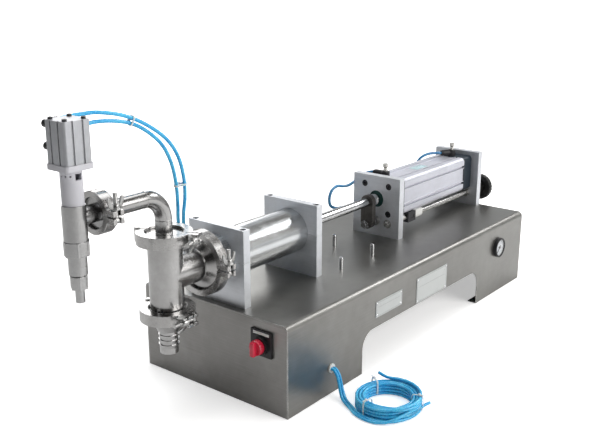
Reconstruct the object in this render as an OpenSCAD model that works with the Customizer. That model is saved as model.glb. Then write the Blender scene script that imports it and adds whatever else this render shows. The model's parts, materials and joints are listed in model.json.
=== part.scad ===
// Piston liquid filler: bench-top, single head, air driven, with a horizontal product cylinder.
// Millimetres. X runs from the nozzle (-X) to the handwheel (+X), Z is up, the bench is z = 0.
// The origin is the centre of the base's footprint on the bench.

/* [Base] */
// length of the sheet-metal base
base_length = 820; // [780:10:1000]
// width of the sheet-metal base
base_width = 320; // [260:10:400]
// height of the base's top above the bench
base_height = 155; // [140:5:190]

/* [Product side] */
// outer diameter of the product cylinder tube
product_d = 80; // [66:1:88]
// outer diameter of the product piston rod
rod_d = 18; // [14:1:20]
// height of the piston axis above the base's top
axis_rise = 76; // [74:1:90]
// full travel of the piston rod
stroke = 150; // [100:5:160]

/* [Air cylinder] */
// side of the square air cylinder profile
air_square = 75; // [70:1:82]
// bore of the air cylinder
air_bore = 63; // [50:1:66]

/* [Adjuster] */
// diameter of the handwheel
handwheel_d = 59; // [50:1:70]

/* [Filling head] */
// side of the square shut-off cylinder
head_square = 42; // [40:1:48]
// outer diameter of the delivery pipe
pipe_d = 26; // [22:1:28]

/* [Hidden] */
$fn = 48;
tiny = 0.01;
run = 0.08;        // radial clearance of a shaft in its bush
seat = 0.1;        // radial clearance of a fixed fit
free = 0.3;        // clearance between a moving piece and its housing
sheet = 2;
x_front = -base_length / 2;
axis_z = base_height + axis_rise;

// split blocks that hold the product tube
block_t = 15;
block_w = 120;
block_top = axis_z + 54;
block_x = [x_front + 14, x_front + 36 + block_t + stroke];
split_gap = 0.6;

// product tube
tube_wall = 2;
tube_id = product_d - 2 * tube_wall;
tube_x1 = x_front - 20;
tube_x2 = block_x[1] + 13;
ferrule_big = product_d + 11;
piston_l = 24;
piston_x = x_front + stroke + 22;

// air cylinder, laid out from the rear end
plate_t = 16;
plate_w = 110;
plate_top = axis_z + 47;
cap_front_l = 30;
cap_rear_l = 34;
barrel_l = stroke + 98;
rear_x2 = x_front + base_length - 2;
rear_x1 = rear_x2 - plate_t;
barrel_x2 = rear_x1 - cap_rear_l;
barrel_x1 = barrel_x2 - barrel_l;
front_x2 = barrel_x1 - cap_front_l;
front_x1 = front_x2 - plate_t;
tie = 28.25;
air_rod_d = 20;
air_piston_l = 24;
air_piston_x = barrel_x2 - 30;
port_x = [front_x2 + 15, barrel_x2 + 8];

// link plate and its guide rod
link_t = 11;
link_w = 28;
link_x = front_x1 - 33;
guide_d = 12;
guide_z = axis_z - air_square / 2 - 7.5;
guide_neck = 10;
guide_l = stroke + 95;

// adjusting spindle
spindle_d = 12;
spindle_y = -28;
spindle_z = guide_z - 3;
spindle_x1 = front_x1 - 6;
wheel_x = rear_x2 + 44;
wheel_t = 20;
carriage_x = front_x2 + 48;
carriage_l = 56;

// product valve and delivery pipe
tee_x = x_front - 95;
tee_d = 53;
tee_wall = 2;
tee_z1 = axis_z - 59;
tee_z2 = axis_z + 61;
suction_z = tee_z1 + 5;
discharge_z = tee_z2 - 43;
ferrule_mid = 64;
ferrule_t = 4;
gasket_t = 1.5;
pipe_wall = 1.6;
bend_r = 38;
pipe_z = axis_z + 126;
head_x = x_front - 253;
small_ferrule = 50.5;
pipe_x1 = x_front - 214;

// pipe clamps: outer diameters, width, inner groove and its lips
head_od = 62;
mid_od = 86;
big_od = 106;
clamp_w = 18;
groove_w = 10.4;
lip = 2.2;

// filling head levels, measured from the pipe's axis
head_body = [-31, 19];
head_conn_top = 68;
head_cyl_top = 134;
head_port_z = [head_conn_top + 27, head_conn_top + 57];
head_port_x = -7;
head_bore = head_square - 8;
stem_d = 8;

// air tubes
air_tube_d = 6;
tube_sides = 8;
elbow_arm = 12;
elbow_up = [26, 10]; // how far each head elbow points upwards, lower one first

// base details
cut_x = [x_front + 202, x_front + 620];
cut_top = 74;
cut_r = 30;
bend = 10;
gauge_pos = [x_front + 706, 102];
grommet_pos = [x_front + 112, 46];
selector_pos = [-109, 113];
plate1 = [x_front + 240, 92, 84, 29];
plate2 = [x_front + 375, 76, 111, 49];
block_feet = [for (x = block_x, s = [-1, 1]) [x + block_t / 2, s * 34]];
plate_feet_at = [for (x = [front_x1, rear_x1], s = [-1, 1]) [x + plate_t / 2, s * 42]];
flow_arm = 8;
rear_turn = 150;
bulkheads = [
  [x_front + 45, 82], [x_front + 45, 97], [front_x2 + 38, 76], [barrel_x1 + 182, 64]
];
standoffs = [for (i = [0, 1], j = [0, 1]) [x_front + 264 + 100 * i, -67 + 89 * j]];

// twin supply tubes and their coil
supply_d = 5;
twin = 2.7;        // from the pair's middle to each tube
coil_od = 110;
coil_id = 74;
coil_h = 27;
coil_c = [x_front + 135, -base_width / 2 - 98];
lay_r = coil_od / 2 + supply_d / 2 + twin + free;

// ---- helpers ----

// cylinder along X from x1 to x2, on the line y, z
module rod_x(d, x1, x2, y = 0, z = 0) {
  translate([x1, y, z])
    rotate([0, 90, 0])
      cylinder(d = d, h = x2 - x1);
}

// cylinder along Z from z1 to z2, on the line x, y
module rod_z(d, z1, z2, x = 0, y = 0) {
  translate([x, y, z1])
    cylinder(d = d, h = z2 - z1);
}

// cylinder along Y from y1 to y2, on the line x, z
module rod_y(d, y1, y2, x = 0, z = 0) {
  translate([x, y2, z])
    rotate([90, 0, 0])
      cylinder(d = d, h = y2 - y1);
}

// cone frustum along X
module cone_x(d1, d2, x1, x2, z) {
  translate([x1, 0, z])
    rotate([0, 90, 0])
      cylinder(d1 = d1, d2 = d2, h = x2 - x1);
}

// box from its two opposite corners
module box(a, b) {
  translate(a)
    cube(b - a);
}

// six-sided prism along Z, w across flats
module hex_z(w, z1, z2) {
  translate([0, 0, z1])
    cylinder(d = w / cos(30), h = z2 - z1, $fn = 6);
}

// flat shape with two rounded top corners
module arch(w, h, r) {
  translate([-w / 2, 0])
    square([w, h - r]);
  translate([-w / 2 + r, 0])
    square([w - 2 * r, h]);
  for (s = [-1, 1])
    translate([s * (w / 2 - r), h - r])
      circle(r);
}

// rounded square, centred
module soft_square(w, r) {
  square([w, w - 2 * r], center = true);
  square([w - 2 * r, w], center = true);
  for (s = [-1, 1], t = [-1, 1])
    translate([s * (w / 2 - r), t * (w / 2 - r)])
      circle(r);
}

// the four tie-rod positions
module at_ties() {
  for (s = [-1, 1], t = [-1, 1])
    translate([0, s * tie, axis_z + t * tie])
      children();
}

// ring along Z with a rectangular section
module ring_z(od, id, z1, z2) {
  difference() {
    rod_z(od, z1, z2);
    rod_z(id, z1 - 1, z2 + 1);
  }
}

// socket-head screw along +Z: head above z = 0, shank below it
module socket_screw(d, length) {
  difference() {
    union() {
      rod_z(d, -length, 0);
      rod_z(1.6 * d, 0, d);
    }
    hex_z(0.8 * d, d / 2, d + 1);
  }
}

// swept round tube: rings square to the path at every point
function unit(v) = v / norm(v);
function way(p, i) =
  i == 0 ? unit(p[1] - p[0]) :
  i == len(p) - 1 ? unit(p[i] - p[i - 1]) :
  unit(unit(p[i] - p[i - 1]) + unit(p[i + 1] - p[i]));
function side_of(t, ref) = unit(ref - (ref * t) * t);
function frames(p, i = 0, ref = [0.31, 0.83, 0.46]) =
  i == len(p) ? [] :
  let (t = way(p, i), u = side_of(t, ref))
  concat([[p[i], u, cross(t, u)]], frames(p, i + 1, u));
function ring_pts(f, r, n) =
  [for (k = [0:n - 1]) f[0] + r * (cos(360 * k / n) * f[1] + sin(360 * k / n) * f[2])];
module sweep_tube(p, d, n = tube_sides) {
  rings = [for (f = frames(p)) each ring_pts(f, d / 2, n)];
  m = len(p);
  walls = [
    for (i = [0:m - 2], k = [0:n - 1]) each [
      [i * n + k, (i + 1) * n + k, i * n + (k + 1) % n],
      [(i + 1) * n + k, (i + 1) * n + (k + 1) % n, i * n + (k + 1) % n]
    ]
  ];
  polyhedron(
    rings,
    concat(walls, [[for (k = [0:n - 1]) k]], [[for (k = [n - 1:-1:0]) (m - 1) * n + k]])
  );
}

// smooth path through route points, s steps a span
function catmull(a, b, c, d, t) =
  0.5 * (2 * b + (c - a) * t + (2 * a - 5 * b + 4 * c - d) * t * t
    + (3 * b - a - 3 * c + d) * t * t * t);
function smooth(p, s) = concat(
  [for (i = [0:len(p) - 2], j = [0:s - 1])
    catmull(p[max(i - 1, 0)], p[i], p[i + 1], p[min(i + 2, len(p) - 1)], j / s)],
  [p[len(p) - 1]]
);

// ---- base ----

module base_cover() {
  color([0.47, 0.45, 0.43])
    difference() {
      union() {
        difference() {
          translate([x_front, 0, 0])
            rotate([90, 0, 90])
              linear_extrude(base_length)
                arch(base_width, base_height, bend);
          translate([x_front - 1, 0, -1])
            rotate([90, 0, 90])
              linear_extrude(base_length + 2)
                arch(base_width - 2 * sheet, base_height - sheet + 1, bend - sheet);
        }
        for (s = [-1, 1], e = [[x_front + 4, cut_x[0]], [cut_x[1], -x_front - 4]])
          translate([e[0], s * (base_width / 2 - 10) - 9, 0])
            cube([e[1] - e[0], 18, sheet]);
      }
      // leg cut-outs in both long sides
      translate([(cut_x[0] + cut_x[1]) / 2, base_width / 2 + 1, -1])
        rotate([90, 0, 0])
          linear_extrude(base_width + 2)
            arch(cut_x[1] - cut_x[0], cut_top + 1, cut_r);
      rod_y(38, -base_width / 2 - 1, -base_width / 2 + 4, gauge_pos[0], gauge_pos[1]);
      rod_y(12, -base_width / 2 - 1, -base_width / 2 + 4, grommet_pos[0], grommet_pos[1]);
      for (p = concat(block_feet, plate_feet_at))
        rod_z(6.4, base_height - 5, base_height + 1, p[0], p[1]);
      for (p = bulkheads)
        rod_z(10.2, base_height - 5, base_height + 1, p[0], p[1]);
      for (p = standoffs)
        rod_z(5.4, base_height - 5, base_height + 1, p[0], p[1]);
    }
}

module end_panels() {
  color([0.44, 0.42, 0.40])
    for (e = [0, 1])
      difference() {
        translate([e == 0 ? x_front : -x_front - sheet, 0, 0])
          rotate([90, 0, 90])
            linear_extrude(sheet)
              arch(base_width - 2 * sheet - 0.2, base_height - sheet - 0.1, bend - sheet);
        if (e == 0)
          rod_x(22.4, x_front - 1, x_front + 4, selector_pos[0], selector_pos[1]);
      }
}

// pins on the base's top, each with a thread and a nut under the sheet
module standoff_pins() {
  color([0.80, 0.80, 0.79])
    for (p = standoffs)
      translate([p[0], p[1], base_height]) {
        rod_z(8, 0, 21);
        translate([0, 0, 21])
          cylinder(d1 = 8, d2 = 5, h = 2);
        rod_z(5, -9, 0);
        difference() {
          hex_z(8, -6, -sheet);
          rod_z(5 + 2 * seat, -7, 0);
        }
      }
}

module info_plates() {
  color([0.86, 0.86, 0.84])
    for (p = [plate1, plate2])
      translate([p[0], -base_width / 2 - 0.8, p[1]])
        cube([p[2], 0.8, p[3]]);
}

module side_grommet() {
  color([0.93, 0.93, 0.91])
    difference() {
      union() {
        rod_y(16, -base_width / 2 - 2.5, -base_width / 2, grommet_pos[0], grommet_pos[1]);
        rod_y(11.8, -base_width / 2, -base_width / 2 + sheet, grommet_pos[0], grommet_pos[1]);
        rod_y(15, -base_width / 2 + sheet, -base_width / 2 + 4, grommet_pos[0], grommet_pos[1]);
      }
      for (s = [-1, 1])
        rod_y(
          supply_d + 2 * seat, -base_width / 2 - 5, -base_width / 2 + 9,
          grommet_pos[0] + s * twin, grommet_pos[1]
        );
    }
}

// five-way air valve under the top sheet, with two side ports and end pilots
module control_valve() {
  color([0.72, 0.73, 0.75])
    translate([x_front + 330, -20, base_height - sheet - 34])
      difference() {
        union() {
          cube([110, 34, 34]);
          translate([-14, 4, 4])
            cube([14, 26, 26]);
          translate([110, 4, 4])
            cube([14, 26, 26]);
        }
        for (x = [30, 80])
          translate([x, 17, 10])
            rotate([-90, 0, 0])
              cylinder(d = 9, h = 20);
        for (x = [18, 55, 92])
          translate([x, -1, 17])
            rotate([-90, 0, 0])
              cylinder(d = 10, h = 12);
      }
}

// ---- switch and gauge ----

module selector_bezel() {
  y = selector_pos[0];
  z = selector_pos[1];
  color([0.05, 0.05, 0.06])
    difference() {
      union() {
        box([x_front - 4, y - 21, z - 18], [x_front, y + 21, z + 25]);
        rod_x(30, x_front - 9, x_front - 4, y, z);
        rod_x(22, x_front, x_front + 24, y, z);
        difference() {
          rod_x(29, x_front + sheet, x_front + 7, y, z);
          rod_x(22 + 2 * seat, x_front + 1, x_front + 8, y, z);
        }
        box([x_front + 24, y - 15, z - 20], [x_front + 52, y + 15, z + 20]);
      }
      rod_x(17, x_front - 10, x_front + 12, y, z);
      box([x_front - 5, y - 17, z + 17], [x_front - 3.4, y + 17, z + 23]);
    }
}

module selector_knob() {
  y = selector_pos[0];
  z = selector_pos[1];
  color([0.80, 0.07, 0.14]) {
    difference() {
      union() {
        rod_x(25, x_front - 19, x_front - 9 - free, y, z);
        rod_x(17 - 2 * free, x_front - 10, x_front + 11, y, z);
      }
      rod_x(8, x_front, x_front + 12, y, z);
    }
    box([x_front - 27, y - 4.5, z - 12], [x_front - 19, y + 4.5, z + 12]);
  }
}

module gauge_case() {
  w = -base_width / 2;
  color([0.07, 0.07, 0.08])
    difference() {
      union() {
        rod_y(42, w - 7, w, gauge_pos[0], gauge_pos[1]);
        rod_y(37.6, w, w + 26, gauge_pos[0], gauge_pos[1]);
        rod_y(14, w + 26, w + 40, gauge_pos[0], gauge_pos[1]);
      }
      rod_y(36, w - 8, w - 2.4, gauge_pos[0], gauge_pos[1]);
      rod_y(5, w + 20, w + 41, gauge_pos[0], gauge_pos[1]);
      rod_y(3.4, w - 3, w + 2, gauge_pos[0], gauge_pos[1]);
    }
}

module gauge_dial() {
  w = -base_width / 2;
  color([0.95, 0.95, 0.93])
    difference() {
      rod_y(35.8, w - 3.4, w - 2.4, gauge_pos[0], gauge_pos[1]);
      rod_y(3.4, w - 4, w - 2, gauge_pos[0], gauge_pos[1]);
    }
}

module gauge_needle() {
  w = -base_width / 2;
  color([0.06, 0.06, 0.07]) {
    rod_y(5, w - 5.8, w - 4, gauge_pos[0], gauge_pos[1]);
    rod_y(2.8, w - 4, w + 1, gauge_pos[0], gauge_pos[1]);
    translate([gauge_pos[0], w - 4.9, gauge_pos[1]])
      rotate([0, 135, 0])
        translate([-5, -0.4, -0.8])
          cube([19, 0.8, 1.6]);
  }
}

// ---- split blocks, product cylinder and piston ----

module block_bores() {
  rod_x(product_d + 2 * seat, x_front, x_front + 260, 0, axis_z);
  for (x = block_x, s = [-1, 1])
    translate([x + block_t / 2, s * 52, 0]) {
      rod_z(6.4, axis_z - 24, block_top + 1);
      rod_z(10.6, block_top - 7, block_top + 1);
    }
  for (p = block_feet)
    rod_z(6.4, base_height - 1, base_height + 21, p[0], p[1]);
}

module block_lowers() {
  color([0.66, 0.67, 0.69])
    difference() {
      for (x = block_x)
        box([x, -block_w / 2, base_height], [x + block_t, block_w / 2, axis_z - split_gap / 2]);
      block_bores();
    }
}

module block_uppers() {
  color([0.67, 0.68, 0.70])
    difference() {
      for (x = block_x)
        box([x, -block_w / 2, axis_z + split_gap / 2], [x + block_t, block_w / 2, block_top]);
      block_bores();
    }
}

module cap_screws() {
  color([0.20, 0.20, 0.21]) {
    // block halves together, from above
    for (x = block_x, s = [-1, 1])
      translate([x + block_t / 2, s * 52, block_top - 7])
        socket_screw(6, 40);
    // blocks and plates to the base, from below
    for (p = concat(block_feet, plate_feet_at))
      translate([p[0], p[1], base_height - sheet])
        rotate([180, 0, 0])
          socket_screw(6, 20);
    // plates to the air cylinder's caps
    at_ties() {
      translate([front_x1 + 8.5, 0, 0])
        rotate([0, -90, 0])
          socket_screw(8, 30);
      translate([rear_x2 - 8.5, 0, 0])
        rotate([0, 90, 0])
          socket_screw(8, 30);
    }
    // shut-off cylinder to its connector
    for (s = [-1, 1], t = [-1, 1])
      translate([
        head_x + s * (head_square / 2 - 6), t * (head_square / 2 - 6),
        pipe_z + head_cyl_top - 1
      ])
        socket_screw(4, 60);
  }
}

module product_cylinder() {
  color([0.78, 0.77, 0.74])
    difference() {
      union() {
        rod_x(product_d, tube_x1, tube_x2, 0, axis_z);
        rod_x(ferrule_big, tube_x1, tube_x1 + ferrule_t, 0, axis_z);
        cone_x(ferrule_big - 5, product_d, tube_x1 + ferrule_t, tube_x1 + 7, axis_z);
      }
      rod_x(tube_id, tube_x1 - 1, tube_x2 + 1, 0, axis_z);
    }
}

module product_piston() {
  color([0.92, 0.92, 0.90])
    difference() {
      rod_x(tube_id - 2 * free, piston_x, piston_x + piston_l, 0, axis_z);
      for (x = [5, 15])
        difference() {
          rod_x(tube_id + 2, piston_x + x, piston_x + x + 4, 0, axis_z);
          rod_x(tube_id - 7, piston_x + x - 1, piston_x + x + 5, 0, axis_z);
        }
      rod_x(rod_d + 2 * seat, piston_x + 8, piston_x + piston_l + 1, 0, axis_z);
    }
}

module piston_seals() {
  color([0.10, 0.10, 0.11]) {
    for (x = [5.2, 15.2])
      difference() {
        rod_x(tube_id - 2 * run, piston_x + x, piston_x + x + 3.6, 0, axis_z);
        rod_x(tube_id - 6.8, piston_x + x - 1, piston_x + x + 5, 0, axis_z);
      }
    for (x = [4.2, 16.2])
      difference() {
        rod_x(air_bore - 2 * run, air_piston_x + x, air_piston_x + x + 3.6, 0, axis_z);
        rod_x(air_bore - 6.8, air_piston_x + x - 1, air_piston_x + x + 5, 0, axis_z);
      }
  }
}

module product_rod() {
  color([0.83, 0.84, 0.85]) {
    rod_x(rod_d, piston_x + 8, link_x, 0, axis_z);
    rod_x(12, link_x, link_x + link_t + 18, 0, axis_z);
  }
}

module link_plate() {
  color([0.30, 0.29, 0.28])
    difference() {
      union() {
        box([link_x, -link_w / 2, guide_z + 4], [link_x + link_t, link_w / 2, axis_z]);
        rod_x(link_w, link_x, link_x + link_t, 0, guide_z + 4);
        rod_x(link_w, link_x, link_x + link_t, 0, axis_z);
      }
      rod_x(12 + 2 * seat, link_x - 1, link_x + link_t + 1, 0, axis_z);
      rod_x(guide_neck + 2 * seat, link_x - 1, link_x + link_t + 1, 0, guide_z);
    }
}

// guide rod with its nut as a separate solid
module guide_rod() {
  color([0.80, 0.81, 0.82]) {
    rod_x(guide_d, link_x + link_t, link_x + link_t + guide_l, 0, guide_z);
    rod_x(guide_neck, link_x - 11, link_x + link_t, 0, guide_z);
    translate([link_x - 8, 0, guide_z])
      rotate([0, 90, 0])
        difference() {
          hex_z(16, 0, 8);
          rod_z(guide_neck + 2 * seat, -1, 9);
        }
  }
}

// rod guide in the tube's rear end, guide rod bush, two spindle bushes
module plain_bushes() {
  color([0.72, 0.58, 0.33]) {
    difference() {
      rod_x(tube_id - 2 * seat, tube_x2 - 14, tube_x2, 0, axis_z);
      rod_x(rod_d + 2 * run, tube_x2 - 15, tube_x2 + 1, 0, axis_z);
      rod_x(rod_d + 18, tube_x2 - 15, tube_x2 - 8, 0, axis_z);
    }
    difference() {
      union() {
        rod_x(16 - 2 * seat, front_x1, front_x2, 0, guide_z);
        rod_x(20, front_x1 - 3, front_x1, 0, guide_z);
      }
      rod_x(guide_d + 2 * run, front_x1 - 4, front_x2 + 1, 0, guide_z);
    }
    for (x = [front_x1, rear_x1])
      difference() {
        rod_x(18 - 2 * seat, x, x + plate_t, spindle_y, spindle_z);
        rod_x(spindle_d + 2 * run, x - 1, x + plate_t + 1, spindle_y, spindle_z);
      }
  }
}

// ---- air cylinder ----

module plate_holes(x1, x2, head_x1, head_x2) {
  at_ties() {
    rod_x(8.4, x1 - 1, x2 + 1);
    rod_x(13.6, head_x1, head_x2);
  }
  rod_x(18, x1 - 1, x2 + 1, spindle_y, spindle_z);
}

module plate_feet(x1) {
  for (s = [-1, 1])
    rod_z(6.4, base_height - 1, base_height + 21, x1 + plate_t / 2, s * 42);
}

module cylinder_front_plate() {
  color([0.55, 0.57, 0.58])
    difference() {
      box([front_x1, -plate_w / 2, base_height], [front_x2, plate_w / 2, plate_top]);
      rod_x(34, front_x1 - 1, front_x2 + 1, 0, axis_z);
      rod_x(16, front_x1 - 1, front_x2 + 1, 0, guide_z);
      plate_holes(front_x1, front_x2, front_x1 - 1, front_x1 + 8.5);
      plate_feet(front_x1);
    }
}

module cylinder_rear_plate() {
  color([0.56, 0.58, 0.59])
    difference() {
      box([rear_x1, -plate_w / 2, base_height], [rear_x2, plate_w / 2, plate_top]);
      plate_holes(rear_x1, rear_x2, rear_x2 - 8.5, rear_x2 + 1);
      plate_feet(rear_x1);
    }
}

module cap_blank(x1, x2) {
  translate([x1, 0, axis_z])
    rotate([90, 0, 90])
      linear_extrude(x2 - x1)
        soft_square(air_square, 7);
}

module air_caps() {
  color([0.07, 0.12, 0.19])
    difference() {
      union() {
        cap_blank(front_x2, barrel_x1);
        cap_blank(barrel_x2, rear_x1);
        rod_x(air_bore - 2 * seat, barrel_x1, barrel_x1 + 6, 0, axis_z);
        rod_x(air_bore - 2 * seat, barrel_x2 - 5, barrel_x2, 0, axis_z);
      }
      rod_x(air_rod_d + 2 * run, front_x2 + 12, barrel_x1 + 7, 0, axis_z);
      rod_x(30, front_x2 - 1, front_x2 + 12, 0, axis_z);
      rod_x(30, barrel_x2 - 6, barrel_x2 + 14, 0, axis_z);
      for (x = port_x)
        rod_z(12.6, axis_z + air_square / 2 - 11, axis_z + air_square / 2 + 1, x, 0);
      at_ties() {
        rod_x(8.4, front_x2 - 1, front_x2 + 23);
        rod_x(8.4, rear_x1 - 23, rear_x1 + 1);
      }
    }
}

// grooved aluminium profile: corner lobes with shallow waists between them
module barrel_section() {
  difference() {
    soft_square(air_square, 9);
    circle(d = air_bore, $fn = 96);
    for (a = [0:90:270])
      rotate(a) {
        translate([air_square / 2 - 1.6, -14])
          square([4, 28]);
        for (s = [-1, 1])
          translate([air_square / 2 - 4.6, s * 18.5 - 2.4])
            square([6, 4.8]);
      }
    for (s = [-1, 1], t = [-1, 1])
      translate([s * tie, t * tie])
        circle(d = 6.4, $fn = 24);
  }
}

module air_barrel() {
  color([0.70, 0.71, 0.77])
    translate([barrel_x1, 0, axis_z])
      rotate([90, 0, 90])
        linear_extrude(barrel_l)
          barrel_section();
}

module air_piston() {
  color([0.62, 0.63, 0.65])
    difference() {
      rod_x(air_bore - 2 * free, air_piston_x, air_piston_x + air_piston_l, 0, axis_z);
      for (x = [4, 16])
        difference() {
          rod_x(air_bore + 2, air_piston_x + x, air_piston_x + x + 4, 0, axis_z);
          rod_x(air_bore - 7, air_piston_x + x - 1, air_piston_x + x + 5, 0, axis_z);
        }
      rod_x(14 + 2 * seat, air_piston_x - 1, air_piston_x + air_piston_l + 1, 0, axis_z);
    }
}

module air_rod() {
  x1 = link_x + link_t;
  color([0.85, 0.86, 0.87])
    difference() {
      union() {
        rod_x(24, x1, x1 + 14, 0, axis_z);
        rod_x(air_rod_d, x1 + 14, air_piston_x, 0, axis_z);
        rod_x(14, air_piston_x, air_piston_x + air_piston_l, 0, axis_z);
      }
      rod_x(12 + 2 * seat, x1 - 1, x1 + 20, 0, axis_z);
      for (s = [-1, 1])
        translate([x1 + 3, s * 12.5 - 2, axis_z - 15])
          cube([8, 4, 30]);
    }
}

// flow-control body: stem in the port, round body and an arm with a release collar
module flow_control(turn) {
  difference() {
    union() {
      rod_z(12.4, -10, 0);
      rod_z(18, 0, 13);
      rotate([0, 0, turn])
        rod_x(13, 0, 24, 0, flow_arm);
      rotate([0, 0, turn])
        rod_x(11, 24, 27, 0, flow_arm);
    }
    rotate([0, 0, turn])
      rod_x(air_tube_d + 2 * seat, 15, 28, 0, flow_arm);
    rod_z(7, 5, 16);
  }
}

module at_port(i) {
  translate([port_x[i], 0, axis_z + air_square / 2])
    children();
}

module flow_controls() {
  color([0.04, 0.04, 0.05]) {
    at_port(0)
      flow_control(90);
    at_port(1)
      flow_control(rear_turn);
  }
}

// needle screw: collar, waist and a grooved head
module flow_screw() {
  rod_z(6.4, 6, 24);
  rod_z(9.5, 14.8, 17);
  translate([0, 0, 20])
    cylinder(d1 = 6.4, d2 = 11, h = 3);
  difference() {
    rod_z(11, 23, 29);
    for (a = [0:24:336])
      rotate([0, 0, a])
        translate([5.7, 0, 22])
          cylinder(d = 1, h = 8, $fn = 4);
  }
}

module flow_screw_front() {
  color([0.72, 0.66, 0.50])
    at_port(0)
      flow_screw();
}

module flow_screw_rear() {
  color([0.72, 0.66, 0.50])
    at_port(1)
      flow_screw();
}

// ---- stroke adjuster ----

module adjusting_spindle() {
  color([0.70, 0.70, 0.69]) {
    rod_x(spindle_d, spindle_x1, wheel_x + wheel_t - 6, spindle_y, spindle_z);
    for (x = [front_x2 + 0.2, rear_x1 - 6.2, rear_x2 + 0.2])
      rod_x(18, x, x + 6, spindle_y, spindle_z);
  }
}

module handwheel() {
  x = wheel_x;
  color([0.03, 0.03, 0.03])
    difference() {
      union() {
        rod_x(handwheel_d, x, x + wheel_t - 8, spindle_y, spindle_z);
        rod_x(handwheel_d - 6, x + wheel_t - 8, x + wheel_t - 4, spindle_y, spindle_z);
        rod_x(24, x - 16, x + wheel_t, spindle_y, spindle_z);
      }
      rod_x(spindle_d + 2 * seat, x - 17, x + wheel_t - 5.9, spindle_y, spindle_z);
      difference() {
        rod_x(handwheel_d - 12, x - 1, x + 5, spindle_y, spindle_z);
        rod_x(24, x - 2, x + 6, spindle_y, spindle_z);
      }
      for (a = [0:15:345])
        translate([0, spindle_y, spindle_z])
          rotate([a, 0, 0])
            rod_x(4, x - 1, x + wheel_t - 7.9, 0, handwheel_d / 2 + 0.8);
    }
}

// travelling nut that slides under the barrel, with its limit sensor in front
module stroke_carriage() {
  x = carriage_x;
  top = axis_z - air_square / 2 - free;
  m = x + carriage_l / 2;
  color([0.90, 0.90, 0.89])
    difference() {
      union() {
        rod_x(19, m, x + carriage_l, spindle_y, spindle_z);
        box([m, spindle_y - 9, spindle_z], [x + carriage_l, spindle_y + 9, top]);
      }
      rod_x(spindle_d + 2 * free, x - 1, x + carriage_l + 1, spindle_y, spindle_z);
    }
  color([0.10, 0.10, 0.11])
    difference() {
      box([x, spindle_y - 10, spindle_z - 10], [m, spindle_y + 10, top]);
      rod_x(spindle_d + 2 * free, x - 1, m + 1, spindle_y, spindle_z);
      box([x + 6, spindle_y - 11, spindle_z - 3], [m - 6, spindle_y - 9, spindle_z + 3]);
    }
}

// ---- product valve ----

module valve_tee() {
  color([0.62, 0.60, 0.57])
    difference() {
      union() {
        rod_z(tee_d, tee_z1, tee_z2, tee_x, 0);
        rod_z(ferrule_mid, tee_z1, tee_z1 + ferrule_t, tee_x, 0);
        rod_z(ferrule_mid, tee_z2 - ferrule_t, tee_z2, tee_x, 0);
        rod_x(tee_d + 1, tee_x, tube_x1 - 16, 0, axis_z);
        cone_x(tee_d + 1, ferrule_big - 5, tube_x1 - 16, tube_x1 - gasket_t - ferrule_t, axis_z);
        rod_x(
          ferrule_big, tube_x1 - gasket_t - ferrule_t, tube_x1 - gasket_t, 0, axis_z
        );
      }
      rod_z(tee_d - 2 * tee_wall, tee_z1 - 1, tee_z2 + 1, tee_x, 0);
      rod_x(tee_d - 11, tee_x, tee_x + 32, 0, axis_z);
      rod_x(tee_d - 3, tee_x + 31, tube_x1, 0, axis_z);
      cone_x(tee_d - 3, tube_id, tube_x1 - 14, tube_x1 - gasket_t + tiny, axis_z);
    }
}

module elbow_pipe() {
  z1 = tee_z2 + gasket_t;
  bore = pipe_d - 2 * pipe_wall;
  color([0.72, 0.72, 0.71])
    difference() {
      union() {
        rod_z(ferrule_mid, z1, z1 + ferrule_t, tee_x, 0);
        rod_z(pipe_d, z1, pipe_z - bend_r, tee_x, 0);
        translate([tee_x - bend_r, 0, pipe_z - bend_r])
          rotate([90, 0, 0])
            rotate_extrude(angle = 90)
              translate([bend_r, 0])
                circle(d = pipe_d);
        rod_x(pipe_d, pipe_x1, tee_x - bend_r, 0, pipe_z);
        rod_x(small_ferrule, pipe_x1 + gasket_t / 2, pipe_x1 + ferrule_t, 0, pipe_z);
      }
      rod_z(bore, z1 - 1, pipe_z - bend_r, tee_x, 0);
      translate([tee_x - bend_r, 0, pipe_z - bend_r])
        rotate([90, 0, 0])
          rotate_extrude(angle = 90)
            translate([bend_r, 0])
              circle(d = bore);
      rod_x(bore, pipe_x1 - 1, tee_x - bend_r, 0, pipe_z);
      rod_x(pipe_d + 1, pipe_x1 - 1, pipe_x1 + gasket_t / 2, 0, pipe_z);
    }
}

// ferrule, cone and ribbed hose tail
module inlet_reducer() {
  z2 = tee_z1 - gasket_t;
  color([0.66, 0.64, 0.62])
    difference() {
      union() {
        rod_z(ferrule_mid, z2 - ferrule_t, z2, tee_x, 0);
        translate([tee_x, 0, z2 - 28])
          cylinder(d1 = 34, d2 = ferrule_mid - 6, h = 24);
        rod_z(29, z2 - 65, z2 - 28, tee_x, 0);
        for (i = [0:2])
          translate([tee_x, 0, z2 - 56 + 8 * i])
            cylinder(d1 = 29, d2 = 32, h = 6);
      }
      rod_z(24, z2 - 66, z2 - 20, tee_x, 0);
      translate([tee_x, 0, z2 - 26])
        cylinder(d1 = 24, d2 = 44, h = 26 + tiny);
    }
}

// hinged pipe clamp around Z: two half rings with ears on +X and a hinge on -X
module clamp_half(od, id, w) {
  rotate([0, 0, 1.5])
    rotate_extrude(angle = 177)
      difference() {
        translate([id / 2 - lip, -w / 2])
          square([od / 2 - id / 2 + lip, w]);
        translate([id / 2 - lip - 1, -groove_w / 2])
          square([lip + 1 + seat, groove_w]);
      }
}

module clamp_ear(od, w) {
  difference() {
    box([od / 2 - 3, 1.5, -w / 2], [od / 2 + 14, 9.5, w / 2]);
    box([od / 2 + 3, 1, -4], [od / 2 + 15, 10, 4]);
  }
}

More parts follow.
